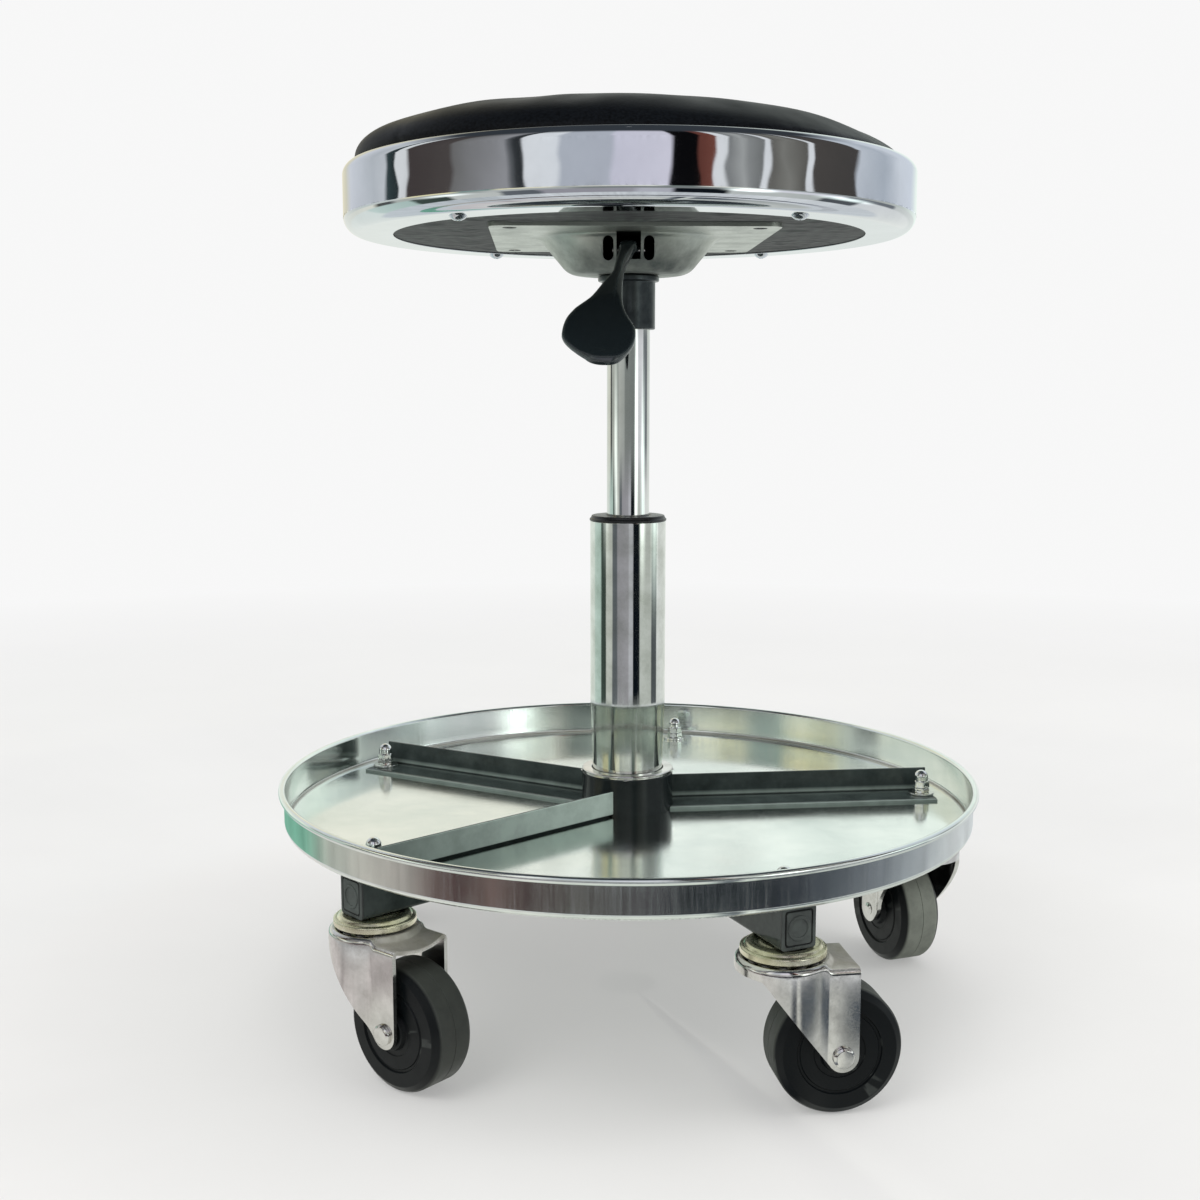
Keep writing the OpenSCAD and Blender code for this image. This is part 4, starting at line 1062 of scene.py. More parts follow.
    def fork(self, trail: float, top: float) -> Mesh:
        """Fork: a plate with a raised head, whose edge bends down into a skirt and two legs."""
        rim = self.outline(trail)
        bend, rear = self.bend_r, trail + self.tip_r
        edge = [(x - nx * bend, y - ny * bend) for (x, y), (nx, ny) in rim]
        heights = [self.plate_z(x, y, trail, top) for x, y in edge]
        skirt = []
        for k in range(7):
            a = pi / 2 * k / 6
            out, drop = bend * sin(a), bend * (1 - cos(a))
            skirt.append([
                (x + nx * out, y + ny * out, z - drop)
                for (x, y), (_, (nx, ny)), z in zip(edge, rim, heights)
            ])
        for k in range(1, 13):
            skirt.append([
                (x, y, mix(z - bend, self.skirt_low(x, trail, top), k / 12))
                for ((x, y), _), z in zip(rim, heights)
            ])
        back = [mix(edge[-1][1], edge[0][1], k / 16) for k in range(1, 16)]
        loop = edge + [(rear + self.bow * (1 - (y / edge[0][1]) ** 2), y) for y in back]
        levels = self.rings
        rows = []
        for step in range(len(levels) + 3):
            row = []
            for x, y in loop:
                away = hypot(x, y)
                held = min(1.0, (away - levels[0]) / (levels[-1] - levels[0]))
                level = levels[min(step, len(levels) - 1)]
                reach = mix(
                    levels[0] + (level - levels[0]) * held, away,
                    max(0, step - len(levels) + 1) / 3,
                )
                at = (x * reach / away, y * reach / away)
                row.append((*at, self.plate_z(*at, trail, top)))
            rows.append(row)
        shell = joined("fork", [skin("plate", rows), skin("skirt", skirt, closed=False)], 0.01)
        return modified(
            shell, ("SOLIDIFY", {"thickness": self.sheet_t, "offset": -1.0}), softened(0.45, 40)
        )

    def wheel(self) -> Mesh:
        """Wheel: its axis along Z, with a ring groove and a boss on each face."""
        face, tread = self.wheel_face, self.wheel_r
        half = [
            (self.bore_r, self.boss_face, 0.3), (self.boss_r - 3.2, self.boss_face, 0.4),
            (self.boss_r - 2.6, self.boss_face - 0.7, 0.4), (self.boss_r, self.boss_face - 1, 0.5),
            (self.boss_r + 1.2, face - 0.6, 0.6), (self.boss_r + 4.2, face - 0.8, 0.4),
            (self.boss_r + 4.6, face - 0.3, 0.3), (tread * 0.6, face - 0.4, 0.4),
            (tread * 0.615, face - 1.2, 0.3), (tread * 0.65, face - 1.2, 0.3),
            (tread * 0.665, face, 0.4), (tread * 0.88, face - 0.1, 1.2),
            (tread * 0.97, face - 2.6, 1.8), (tread, face - 4.6, 2.0),
            (tread, 0.45, 0.1), (tread - 0.35, 0.0, 0.0),
        ]
        other = [(r, -z, rounding) for r, z, rounding in half[-2::-1]]
        return self.spun.mesh("wheel", half + other, WHEEL_RUBBER, segments=112, steps=5)

    def tread_dust(self, share: float, point: Vector) -> float:
        """Dust lies where the wheel meets the floor and thins out over its shoulder."""
        rim = ease((hypot(point.x, point.y) - self.wheel_r + 1.4) / 1.2)
        return share * rim * ease((12.5 - abs(point.z)) / 2.0)

    def axle(self) -> Mesh:
        """Axle along Z: a wide button head at one end and a peened end at the other."""
        low = -self.half_w - 1.6
        corners = [
            (0.0, low, 0.0), (2.4, low, 0.7), (4.6, low + 1.2, 0.5), (4.3, -self.half_w, 0.2),
            (self.axle_r, -self.half_w, 0.0), (self.axle_r, self.half_w, 0.0),
            (self.head_reach, self.half_w, 0.2), (self.head_reach, self.half_w + 1.7, 1.0),
            (self.head_reach - 1.4, self.half_w + 2.8, 1.2), (0.0, self.half_w + 3.0, 0.0),
        ]
        return self.spun.mesh("axle", corners, ZINC, segments=64, closed=False)


@dataclass
class Base(Assembly):
    """Hub, five arms with their plugs, swivel cups and the stacks on the stems."""

    arm_w: float = 22.0
    arm_h: float = 25.0
    arm_wall: float = 2.0
    arm_tail: float = 15.0
    corner_r: float = 2.2
    badge_r: float = 7.4
    # Places of the tack welds under the ring, in degrees
    tack_turns: tuple = (4, 95, 183, 268)
    nut_af: float = 10.0
    nut_h: float = 3.2
    cap_h: float = 12.0
    washer_r: float = 9.0
    washer_t: float = 1.6
    stem_r: float = 3.15
    divider_w: float = 30.0
    divider_h: float = 17.0
    divider_t: float = 2.0
    divider_tail: float = 7.0
    divider_sides: dict[str, int] = field(
        default_factory=lambda: {"right": 1, "rear_left": -1, "front_left": 1}
    )

    def build(self) -> None:
        """Builds the base."""
        self.hub = Extent.of("hub")
        self.ring = Extent.of("hub_ring")
        self.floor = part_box("divider_right")[0].z / MM
        self.arm_low = self.hub.low
        self.places = {name: CasterPlace.of(name) for name in CASTER_NAMES}
        self.reach = self.places["right"].swivel.length
        self.build_hub()
        self.build_arms()
        self.build_dividers()
        self.build_stems()
        self.build_cups()
        dress(ZINC, "caster_stem_bolts")
        dress(GROUND_STEEL, "swivel_balls")

    def around(self, names: Iterable[str], away: float, height: float) -> list:
        """Places on arms, with X outwards along each."""
        spots = []
        for name in names:
            turn = self.places[name].arm_turn
            spots.append((Vector((away * cos(turn), away * sin(turn), height)), turn))
        return spots

    def build_hub(self) -> None:
        """Builds the hub, the bright ring on it and the ring's tack welds."""
        hub, ring = self.hub, self.ring
        low_bore, high_bore = 22.0, 23.6
        self.spin("hub_sleeve", "hub", BLACK_ENAMEL, "base", [
            (low_bore, hub.low, 0.3), (hub.radius, hub.low, 0.8), (hub.radius, hub.high, 1.0),
            (high_bore, hub.high, 0.3),
        ], 160)
        body = self.spun.mesh("ring", [
            (high_bore + 0.5, ring.low, 0.2), (ring.radius, ring.low, 0.3),
            (ring.radius, ring.high, 0.9), (high_bore + 0.5, ring.high, 0.5),
        ], ZINC, 160)
        bead = self.spun.mesh(
            "tack", [(0, 1.1, 0), (1.7, 0.7, 0.5), (2.3, 0, 0.3), (1.7, -0.7, 0.5), (0, -1.1, 0)],
            ZINC, segments=20, closed=False,
        )
        tacks = [
            moved(bead, Matrix.Rotation(radians(a), 4, "Z")
                  @ Matrix.Translation((ring.radius - 1.2, 0, ring.low)))
            for a in self.tack_turns
        ]
        settle("hub_bright_ring", joined("ring", [body, *tacks]), ZINC, "base", ["hub_ring"])

    def box_outline(self, inset: float, rounding: float) -> list[tuple[float, float]]:
        """Rounded outline of an arm about its middle, drawn in by an inset."""
        wide, tall = self.arm_w / 2 - inset, self.arm_h / 2 - inset
        return rounded_outline([
            (wide, tall, rounding), (-wide, tall, rounding), (-wide, -tall, rounding),
            (wide, -tall, rounding),
        ])

    def build_arms(self) -> None:
        """Builds the arms and the plugs in their ends."""
        end, middle = self.reach + self.arm_tail, self.arm_low + self.arm_h / 2
        outer = self.box_outline(0, self.corner_r)
        inner = self.box_outline(self.arm_wall, self.corner_r - 1.4)
        root = self.hub.radius + 0.1
        start_in, start_out = (
            [(sqrt(root ** 2 - y ** 2), y, z) for y, z in side] for side in (inner, outer)
        )
        end_in, end_out = ([(end, y, z) for y, z in side] for side in (inner, outer))
        tube = skin("arm", [start_in, end_in, end_out, start_out, start_in])
        self.set_down("box_arms", "base_arms", BLACK_ENAMEL, "base", tube,
                      self.around(CASTER_NAMES, 0, middle))
        # Each level of a plug: its place along the arm, how far it is drawn in, and its rounding
        fit = self.arm_wall + 0.1
        plan = [(-6.5, fit, 0.9), (0.0, fit, 0.9), (0.0, 0.0, self.corner_r),
                (1.0, 0.0, self.corner_r), (1.4, 0.5, self.corner_r),
                (1.4, 2.0, 2.0), (0.7, 2.4, 1.8), (0.7, 2.8, 1.6), (1.5, 3.2, 1.4)]
        faces = [[(x, y, z) for y, z in self.box_outline(inset, r)] for x, inset, r in plan]
        cap = skin("plug", faces, capped=True)
        badge = self.spun.mesh("badge", [
            (self.badge_r - 2.2, 1.4, 0.1), (self.badge_r - 1.9, 2.1, 0.3),
            (self.badge_r - 0.4, 2.1, 0.3), (self.badge_r - 0.1, 1.4, 0.1),
        ], MOULDED_PLASTIC, segments=48)
        facing = moved(badge, Matrix.Rotation(pi / 2, 4, "Y"))
        self.set_down(
            "end_plugs", "arm_end_plugs", MOULDED_PLASTIC, "base", joined("plug", [cap, facing]),
            self.around(CASTER_NAMES, end, middle),
            lambda point: ease((hypot(point.x, point.y) - end - 1.1) / 0.3),
        )

    def build_dividers(self) -> None:
        """Builds the angle bars that lie on the tray's floor."""
        half, height, wall = self.divider_w / 2, self.divider_h, self.divider_t
        root, end = self.hub.radius + 0.3, self.reach + self.divider_tail
        for name, side in self.divider_sides.items():
            steps = [mix(-half, half, k / 12) for k in range(1, 12)]
            low = [(-half * side, 0.0)] + [(y * side, 0.0) for y in steps]
            turned = rounded_outline([
                (half * side, 0.0, 0.9), (half * side, height, 0.7),
                ((half - wall) * side, height, 0.7), ((half - wall) * side, 5.5, 0.0),
                ((half - wall) * side, wall, 2.2),
            ], steps=4)
            back = [(y * side, wall) for y in steps[:-2][::-1]]
            outline = low + turned + back + [(-half * side, wall - 0.5), (-half * side, 0.5)]
            if side > 0:
                outline = outline[::-1]
            rows = [
                [(end, y, z) for y, z in outline],
                [(sqrt(root ** 2 - y ** 2), y, z) for y, z in outline],
            ]
            turn = self.places[name].arm_turn
            place = Matrix.Translation((0, 0, self.floor)) @ Matrix.Rotation(turn, 4, "Z")
            settle(f"angle_bar_{name}", skin("bar", rows, capped=True), BLACK_ENAMEL, "base",
                   [f"divider_{name}"], place, self.bar_dust_and_highlight(name, side))

    def bar_dust_and_highlight(self, name: str, side: int) -> Callable[[Vector], float]:
        """Marks on a bar: a light line in its inner corner that is dust and a painted highlight, a
        painted highlight along the flat leg's free edge, and a painted reflection on the front
        bar's face.
        """
        def dust(point: Vector) -> float:
            away = hypot(point.y * side - self.divider_w / 2 + self.divider_t + 0.6,
                         point.z - self.divider_t - 0.6)
            # A light line in the inner corner: dust and a painted highlight
            line = 0.5 * ease((1.7 - away) / 1.2)
            # A painted highlight along the flat leg's free edge
            line = max(line, 0.4 * ease((-point.y * side - self.divider_w / 2 + 0.6) / 0.5))
            # A painted reflection on the front bar's face, brightest by the hub
            faces = name == "front_left" and point.y * side > self.divider_w / 2 - 0.3
            return max(line, mix(1.0, 0.25, ease((point.x - 90) / 140)) if faces else 0.0)
        return dust

    def hexagon(self, name: str, height: float, dome: float = 0.0) -> Mesh:
        """Hexagon nut with rounded chamfers, or a cap nut where it has a dome."""
        count, apothem = 72, self.nut_af / 2
        levels = [(0.0, 0.35), (0.35, 0.0), (height * 0.8, 0.0), (height * 0.9, 0.16),
                  (height - 0.02, 0.42), (height, 0.6)]
        sides = []
        for z, shrink in levels[::-1]:
            row = []
            for k in range(count):
                a = FULL_TURN * k / count
                flat = apothem / cos((a + pi / 6) % (pi / 3) - pi / 6)
                cone = apothem / cos(pi / 6) - shrink * 2.4
                row.append((min(flat, cone) * cos(a), min(flat, cone) * sin(a), z))
            sides.append(row)
        top = [(self.stem_r, height)]
        if dome:
            crown_r = self.nut_af * 0.475
            crown = arc((0, dome - crown_r), crown_r, 90, 0, 10)
            top = [(0.02, dome), *((r, z) for r, z, _ in crown[1:]), (crown_r, height)]
        return skin(name, [circle(r, z, count) for r, z in top] + sides, capped=True)

    def build_stems(self) -> None:
        """Builds the washers, thin nuts and cap nuts that clamp the casters."""
        washer = self.spun.mesh("washer", [
            (self.stem_r, 0, 0.1), (self.washer_r, 0, 0.3), (self.washer_r, self.washer_t, 0.4),
            (self.stem_r, self.washer_t, 0.2),
        ], ZINC, segments=64)
        thin = self.hexagon("nut", self.nut_h)
        cap = self.hexagon("cap", self.cap_h * 0.42, dome=self.cap_h)
        bare = [name for name in CASTER_NAMES if name not in self.divider_sides]
        for names, base, label in (
            (self.divider_sides, self.floor + self.divider_t, "divided"),
            (bare, self.floor, "bare"),
        ):
            over = base + self.washer_t
            for kind, node, part, height in (
                ("washer", "stem_washers", washer, base), ("nut", "stem_nuts", thin, over),
                ("cap", "cap_nuts", cap, over + self.nut_h),
            ):
                spots = [
                    (spot, turn + 0.35 * k)
                    for k, (spot, turn) in enumerate(self.around(names, self.reach, height))
                ]
                self.set_down(f"{kind}_{label}", node, NUT_ZINC, "base", part, spots)

    def build_cups(self) -> None:
        """Builds the swivel cups: pressed caps whose roof folds down into an upright rim."""
        low, high = (corner.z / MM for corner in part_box("caster_cups"))
        cup = self.spun.mesh("cup", [
            (self.stem_r, high, 0), (12.5, high, 1.0), (14.2, high - 0.5, 0.8),
            (16.4, high - 0.5, 0.8), (18.0, high, 1.2), (20.9, high - 0.2, 2.4),
            (22.3, high - 2.1, 0.5), (23.0, high - 2.0, 0.4), (24.5, high - 2.6, 1.0),
            (24.5, low, 0.3), (23.1, low, 0.3), (23.1, high - 3.5, 1.2),
            (20.8, high - 1.5, 1.5), (self.stem_r, high - 1.5, 0),
        ], YELLOW_ZINC, segments=96)
        self.set_down("swivel_cups", "caster_cups", YELLOW_ZINC, "base", cup,
                      self.around(CASTER_NAMES, self.reach, 0))


@dataclass
class Tray(Assembly):
    """Round tool tray of bright sheet, with a floor, a bent wall and a rolled rim."""

    sheet_t: float = 1.2
    rim_d: float = 4.5
    bend_r: float = 4.0

    def build(self) -> None:
        """Builds the tray, with a dark line along its inner corner."""
        tray, hub = Extent.of("tray"), Extent.of("hub")
        wall = tray.radius - self.rim_d + self.sheet_t
        bead = (tray.radius - self.rim_d / 2, tray.high - self.rim_d / 2)
        bore, inside, floor = hub.radius + 0.3, wall - self.sheet_t, tray.low + self.sheet_t
        self.spin(
            "rolled_tray", "tray", TRAY_STEEL, "base", [
                (bore, floor, 0), (inside - 6, floor, 0), (inside, floor, 2.8),
                (inside, tray.low + 8, 0), *arc(bead, self.rim_d / 2, 180, -118, 16),
                (wall, tray.low, self.bend_r), (bore, tray.low, 0),
            ], 320, 6, lambda point: ease(1.6 - hypot(
                hypot(point.x, point.y) - wall + 2.3, point.z - floor - 0.5
            )),
        )


@dataclass
class GasLift(Assembly):
    """Outer tube with its collar, the gas cylinder and what is inside them."""

    tube_wall: float = 2.0
    tube_floor: float = 3.0
    taper_h: float = 105.0
    bush_bore: float = 14.1
    rod_hole: float = 4.1
    cylinder_r: float = 14.0
    cylinder_bore: float = 12.7
    valve_bore: float = 6.0
    pin_bore: float = 2.6

    def build(self) -> None:
        """Builds the lift."""
        tube, collar = Extent.of("outer_tube"), Extent.of("guide_bush")
        straight, inside = tube.low + self.taper_h, tube.radius - self.tube_wall
        self.spin("tapered_tube", "outer_tube", DRAWN_CHROME, "base", [
            (self.rod_hole, tube.low, 0), (21.5, tube.low, 0.5), (tube.radius, straight, 120),
            (tube.radius, tube.high, 0.4), (inside, tube.high, 0.4), (inside, straight, 0),
            (19.6, tube.low + self.tube_floor, 0), (self.rod_hole, tube.low + self.tube_floor, 0),
        ], 192, 8)
        self.spin("flared_collar", "guide_bush", MOULDED_PLASTIC, "base", [
            (self.bush_bore, collar.low, 0.3), (22.9, collar.low, 0.5), (22.9, tube.high, 0),
            (collar.radius, tube.high + 0.05, 0.3), (collar.radius, tube.high + 1.2, 0.6),
            (collar.radius - 0.9, tube.high + 2.0, 0.6), (collar.radius - 1.5, collar.high, 0.7),
            (15.6, collar.high, 0.6), (self.bush_bore, collar.high - 1.0, 0.3),
        ], 128)
        cylinder, top = Extent.of("gas_cylinder"), Extent.of("gas_cylinder").high
        self.spin("bright_cylinder", "gas_cylinder", GROUND_CHROME, "seat", [
            (self.cylinder_bore, cylinder.low, 0.3), (self.cylinder_r, cylinder.low, 0.6),
            (self.cylinder_r, Extent.of("taper_socket").low, 60), (13.2, top, 0.5),
            (self.pin_bore, top, 0), (self.pin_bore, top - 5, 0), (self.valve_bore, top - 5, 0),
            (self.valve_bore, top - 23, 0), (self.cylinder_bore, top - 23, 0),
        ], 128)
        dress(ZINC, "thrust_washer_lower", "thrust_washer_upper", "valve_body", "valve_pin")
        dress(GROUND_STEEL, "thrust_balls", "piston_rod")
        dress(GUNMETAL, "rod_clip", "piston", "cylinder_gland")
        dress(SOFT_RUBBER, "rubber_buffer")


@dataclass
class SeatFitting(Assembly):
    """Pressed pan under the board, its screws, the taper socket and the lever's bracket."""

    sheet_t: float = 2.5
    plate_half: float = 87.5
    plate_round: float = 7.0
    turn: float = radians(3)
    bowl_r: float = 61.04
    slope: float = 50.0
    floor_bend: float = 12.4
    mouth_bend: float = 8.0
    hole_r: float = 17.4
    screw_pitch: float = 150.0
    screw_r: float = 4.5
    window_w: float = 15.0
    slot_w: float = 6.6
    slot_x: float = 12.6

    def build(self) -> None:
        """Builds the fitting."""
        low, high = (corner.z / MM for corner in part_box("seat_pan"))
        self.low, self.plate = low, high - self.sheet_t
        # The bowl takes a painted shade and a painted reflection of the handle and the tube
        settle("pressed_pan", self.pan(), PAN_STEEL, "seat", ["seat_pan"], dust=self.shade)
        socket = Extent.of("taper_socket")
        neck, ring = socket.radius - 2.5, low - 4.3
        self.spin("ringed_socket", "taper_socket", GUNMETAL, "seat", [
            (14.1, socket.low, 0.4), (neck, socket.low, 0.9), (neck, ring, 0.8),
            (socket.radius, ring, 0.9), (socket.radius, low - 0.9, 0.8),
            (neck + 0.4, low - 0.1, 0.4), (neck, low + self.sheet_t, 0.3),
            (13.4, low + self.sheet_t, 0.3),
        ], 128)
        self.build_screws()
        dress(GUNMETAL, "lever_bracket")
        dress(ZINC, "lever_pin")

    def shade(self, point: Vector) -> float:
        """Painted shade and painted reflection: the bowl darkens down its slope, most at the
        front, under the handle and the tube.
        """
        away = hypot(point.x, point.y)
        down = ease((self.plate - 3 - point.z) / 9) * ease((self.bowl_r - away) / 8)
        return down * mix(0.3, 0.95, ease(1.25 - hypot(point.x - 6, point.y + 45) / 50))

    def section(self) -> list[tuple[float, float]]:
        """Underside of the bowl, from its floor to its mouth."""
        depth = self.plate - self.low
        lean = radians(self.slope)
        rise = (self.mouth_bend + self.floor_bend) * (1 - cos(lean))
        floor_r = (self.bowl_r - (self.mouth_bend + self.floor_bend) * sin(lean)
                   - (depth - rise) / tan(lean))
        foot = arc((floor_r, self.low + self.floor_bend), self.floor_bend, -90,
                   self.slope - 90, 8)
        mouth = arc((self.bowl_r, self.plate - self.mouth_bend), self.mouth_bend,
                    self.slope + 90, 90, 8)
        return [(r, z) for r, z, _ in foot + mouth]

    def plate_edge(self, a: float) -> float:
        """Distance from the column to the square plate's edge in a direction."""
        half, inner = self.plate_half, self.plate_half - self.plate_round
        b = (a - self.turn + pi / 4) % (pi / 2) - pi / 4
        if abs(tan(b)) * half <= inner:
            return half / cos(b)
        lean, far = abs(b) - pi / 4, inner * sqrt(2)
        return far * cos(lean) + sqrt(self.plate_round ** 2 - (far * sin(lean)) ** 2)

    def pan(self) -> Mesh:
        """Pan: a bowl that runs out into a square plate with rounded corners."""
        count, rings = 192, 6
        rows = [circle(r, z, count) for r, z in [(self.hole_r, self.low)] + self.section()]
        mouth = self.bowl_r + self.sheet_t
        turns = [FULL_TURN * k / count for k in range(count)]
        edges = [self.plate_edge(a) for a in turns]
        for step in range(1, rings + 1):
            reaches = [mix(mouth, edge, step / rings) for edge in edges]
            rows.append([(r * cos(a), r * sin(a), self.plate) for r, a in zip(reaches, turns)])
        shell = modified(
            skin("pan", rows), ("SOLIDIFY", {"thickness": self.sheet_t, "offset": 1.0})
        )
        return modified(cut_from(shell, self.openings()), softened(0.4, 50))

    def openings(self) -> list[Mesh]:
        """Cutters for the lever's window and the slots beside it, in the bowl's front."""
        depth, front = self.plate - self.low, -self.bowl_r
        cutters = [block(
            "window", (-self.window_w / 2, front - 1.25, self.low + depth * 0.3),
            (self.window_w / 2, front / 2 - 1.25, self.plate + 0.2),
        )]
        low, high = self.low + depth * 0.42, self.low + depth * 0.76
        for middle in (-self.slot_x, self.slot_x):
            outline = [
                (x, z) for z, start in ((high, 0), (low, 180))
                for x, z, _ in arc((middle, z), self.slot_w / 2, start, start + 180, 10)
            ]
            cutters.append(skin("slot", [
                [(x, y, z) for x, z in outline] for y in (front, front / 2)
            ], capped=True))
        return cutters

    def build_screws(self) -> None:
        """Builds the countersunk screws, whose cross recesses are seen from below."""
        head = self.spun.mesh("screw", [
            (0.0, -0.1, 0.0), (self.screw_r - 0.4, -0.1, 0.2), (self.screw_r, 0.15, 0.1),
            (2.5, self.sheet_t, 0.0), (2.5, 15.0, 0.3), (0.0, 15.0, 0.0),
        ], BLACK_SCREWS, segments=48, closed=False)
        screw = cut_from(head, [cross_recess(2.4, 0.8, 1.6, -0.2)])
        half = self.screw_pitch / 2
        spots = [
            (Matrix.Rotation(self.turn, 3, "Z") @ Vector((x * half, y * half, self.plate)),
             0.5 + 1.1 * k)
            for k, (x, y) in enumerate(((1, 1), (-1, 1), (-1, -1), (1, -1)))
        ]
        self.set_down("pan_screw_heads", "pan_screws", BLACK_SCREWS, "seat", screw, spots)


def cross_recess(reach: float, width: float, depth: float, start: float) -> Mesh:
    """Cutter for a screw's cross recess that narrows as it goes up from start."""
    rows = []
    for share, z in ((1.0, start), (0.45, start + depth)):
        arm, half = reach * share, width / 2 * mix(1, share, 0.4)
        corners = [(arm, -half), (arm, half), (half, half)]
        row = []
        for k in range(4):
            turned = Matrix.Rotation(pi / 2 * k, 2)
            row += [(*(turned @ Vector(corner)), z) for corner in corners]
        rows.append(row)
    return skin("recess", rows[::-1], capped=True)


@dataclass
class Lever(Assembly):
    """Flat lever bar and its moulded paddle."""

    hinge_y: float = -53.04
    root: float = 7.0
    slope: float = radians(45)
    bend_start: float = -5.0
    bend_length: float = 10.0
    tip_length: float = 10.2
    # Half of the thickness at the root and at the paddle
    thick: tuple[float, float] = (3.9, 3.1)
    dish: float = 1.0
    ridge: float = 0.9
    # Both edges: the distance down the slope and the place across, to the right
    left_edge: tuple = (
        (0, -5.6), (6, -6.5), (19, -8.5), (26, -9.9), (34.4, -15.1), (47, -22.5), (52.4, -27.6),
        (57, -32.0), (65.7, -36.8), (79, -38.9), (85, -36.9), (91, -32.1), (96.5, -26.0),
        (100.5, -20.5), (102.2, -11.5),
    )
    right_edge: tuple = (
        (0, 5.0), (5, 3.2), (18.8, -1.6), (31, -3.3), (48.6, -3.6), (58, -2.2), (66, 0.9),
        (74, 4.0), (86, 3.2), (94, -0.6), (98, -3.6), (100.5, -6.6), (102.2, -11.5),
    )

    def build(self) -> None:
        """Builds the handle."""
        low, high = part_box("lever_pin")
        self.pivot = (low.z + high.z) / 2 / MM
        settle("moulded_handle", self.handle(), HANDLE_PLASTIC, "lever", ["lever_handle"])
        dress(GUNMETAL, "lever_arm")

    @staticmethod
    def edge(points: tuple, v: float) -> float:
        """Smooth edge through points at a distance down the slope."""
        for k in range(len(points) - 1):
            if v <= points[k + 1][0]:
                break
        before, here, there, after = (
            points[max(0, min(len(points) - 1, k + j))] for j in (-1, 0, 1, 2)
        )
        width = there[0] - here[0]
        share = (v - here[0]) / width
        rise_here = (there[1] - before[1]) / max(there[0] - before[0], 1e-6) * width
        rise_there = (after[1] - here[1]) / max(after[0] - here[0], 1e-6) * width
        if k + 2 >= len(points):
            rise_there = (there[1] - here[1]) * 2.2
        cube, square = share ** 3, share ** 2
        return (
            (2 * cube - 3 * square + 1) * here[1] + (cube - 2 * square + share) * rise_here
            + (-2 * cube + 3 * square) * there[1] + (cube - square) * rise_there
        )

    def handle(self) -> Mesh:
        """Handle: a level root, a bend and a dished paddle down the slope."""
        end, count = self.left_edge[-1][0], 40
        stations = [-self.root + self.root * k / 5 for k in range(5)]
        stations += [k * 2.0 for k in range(46)]
        stations += [end - self.tip_length * (1 - sin(pi / 2 * k / 16)) for k in range(1, 17)]
        rows = []
        for v in stations:
            flat = max(v, 0.0)
            left, right = self.edge(self.left_edge, flat), self.edge(self.right_edge, flat)
            if v > end - 1e-6:
                left, right = left - 0.05, left + 0.05
            middle, half = (left + right) / 2, (right - left) / 2
            thick = mix(*self.thick, ease((v - 18) / 30))
            thick *= sqrt(max(0.02, 1 - max(0.0, (v - end + 4.5) / 4.6) ** 2))
            paddle = ease((v - 46) / 16) * ease((end - 5 - v) / 8)
            neck = ease((v - 4) / 8) * ease((56 - v) / 14)
            bent = self.bent(v)
            spine_y, spine_z = self.spine(v)
            row = []
            for k in range(count):
                a = FULL_TURN * k / count
                c, d = cos(a), sin(a)
                u = middle + half * copysign(abs(c) ** 0.55, c)
                w = thick * copysign(abs(d) ** 0.7, d)
                if w > 0:
                    across = (u - middle) / half
                    w -= self.dish * paddle * max(0.0, 1 - across ** 4)
                    w += self.ridge * neck * exp(-((across - 0.45) / 0.28) ** 2)
                row.append((u, spine_y - w * sin(bent), spine_z + w * cos(bent)))
            rows.append(row)
        return skin("handle", rows, capped=True)

    def bent(self, v: float) -> float:
        """Slope of the handle at a distance down it."""
        return self.slope * ease((v - self.bend_start) / self.bend_length)

    def spine(self, v: float) -> tuple[float, float]:
        """Y and Z of the handle's middle line at a distance down it."""
        steps = 40
        y, z, at = self.hinge_y + self.root, self.pivot, -self.root
        step = (v + self.root) / steps
        for _ in range(steps):
            bent = self.bent(at + step / 2)
            y -= step * cos(bent)
            z -= step * sin(bent)
            at += step
        return y, z


# Pulls in the cover's cloth: the strength, width and depth in mm, and seed of each
COVER_PULLS = ((1.0, 14, 60, 3.1), (0.7, 60, 11, 8.4), (0.35, 7, 9, 1.7))


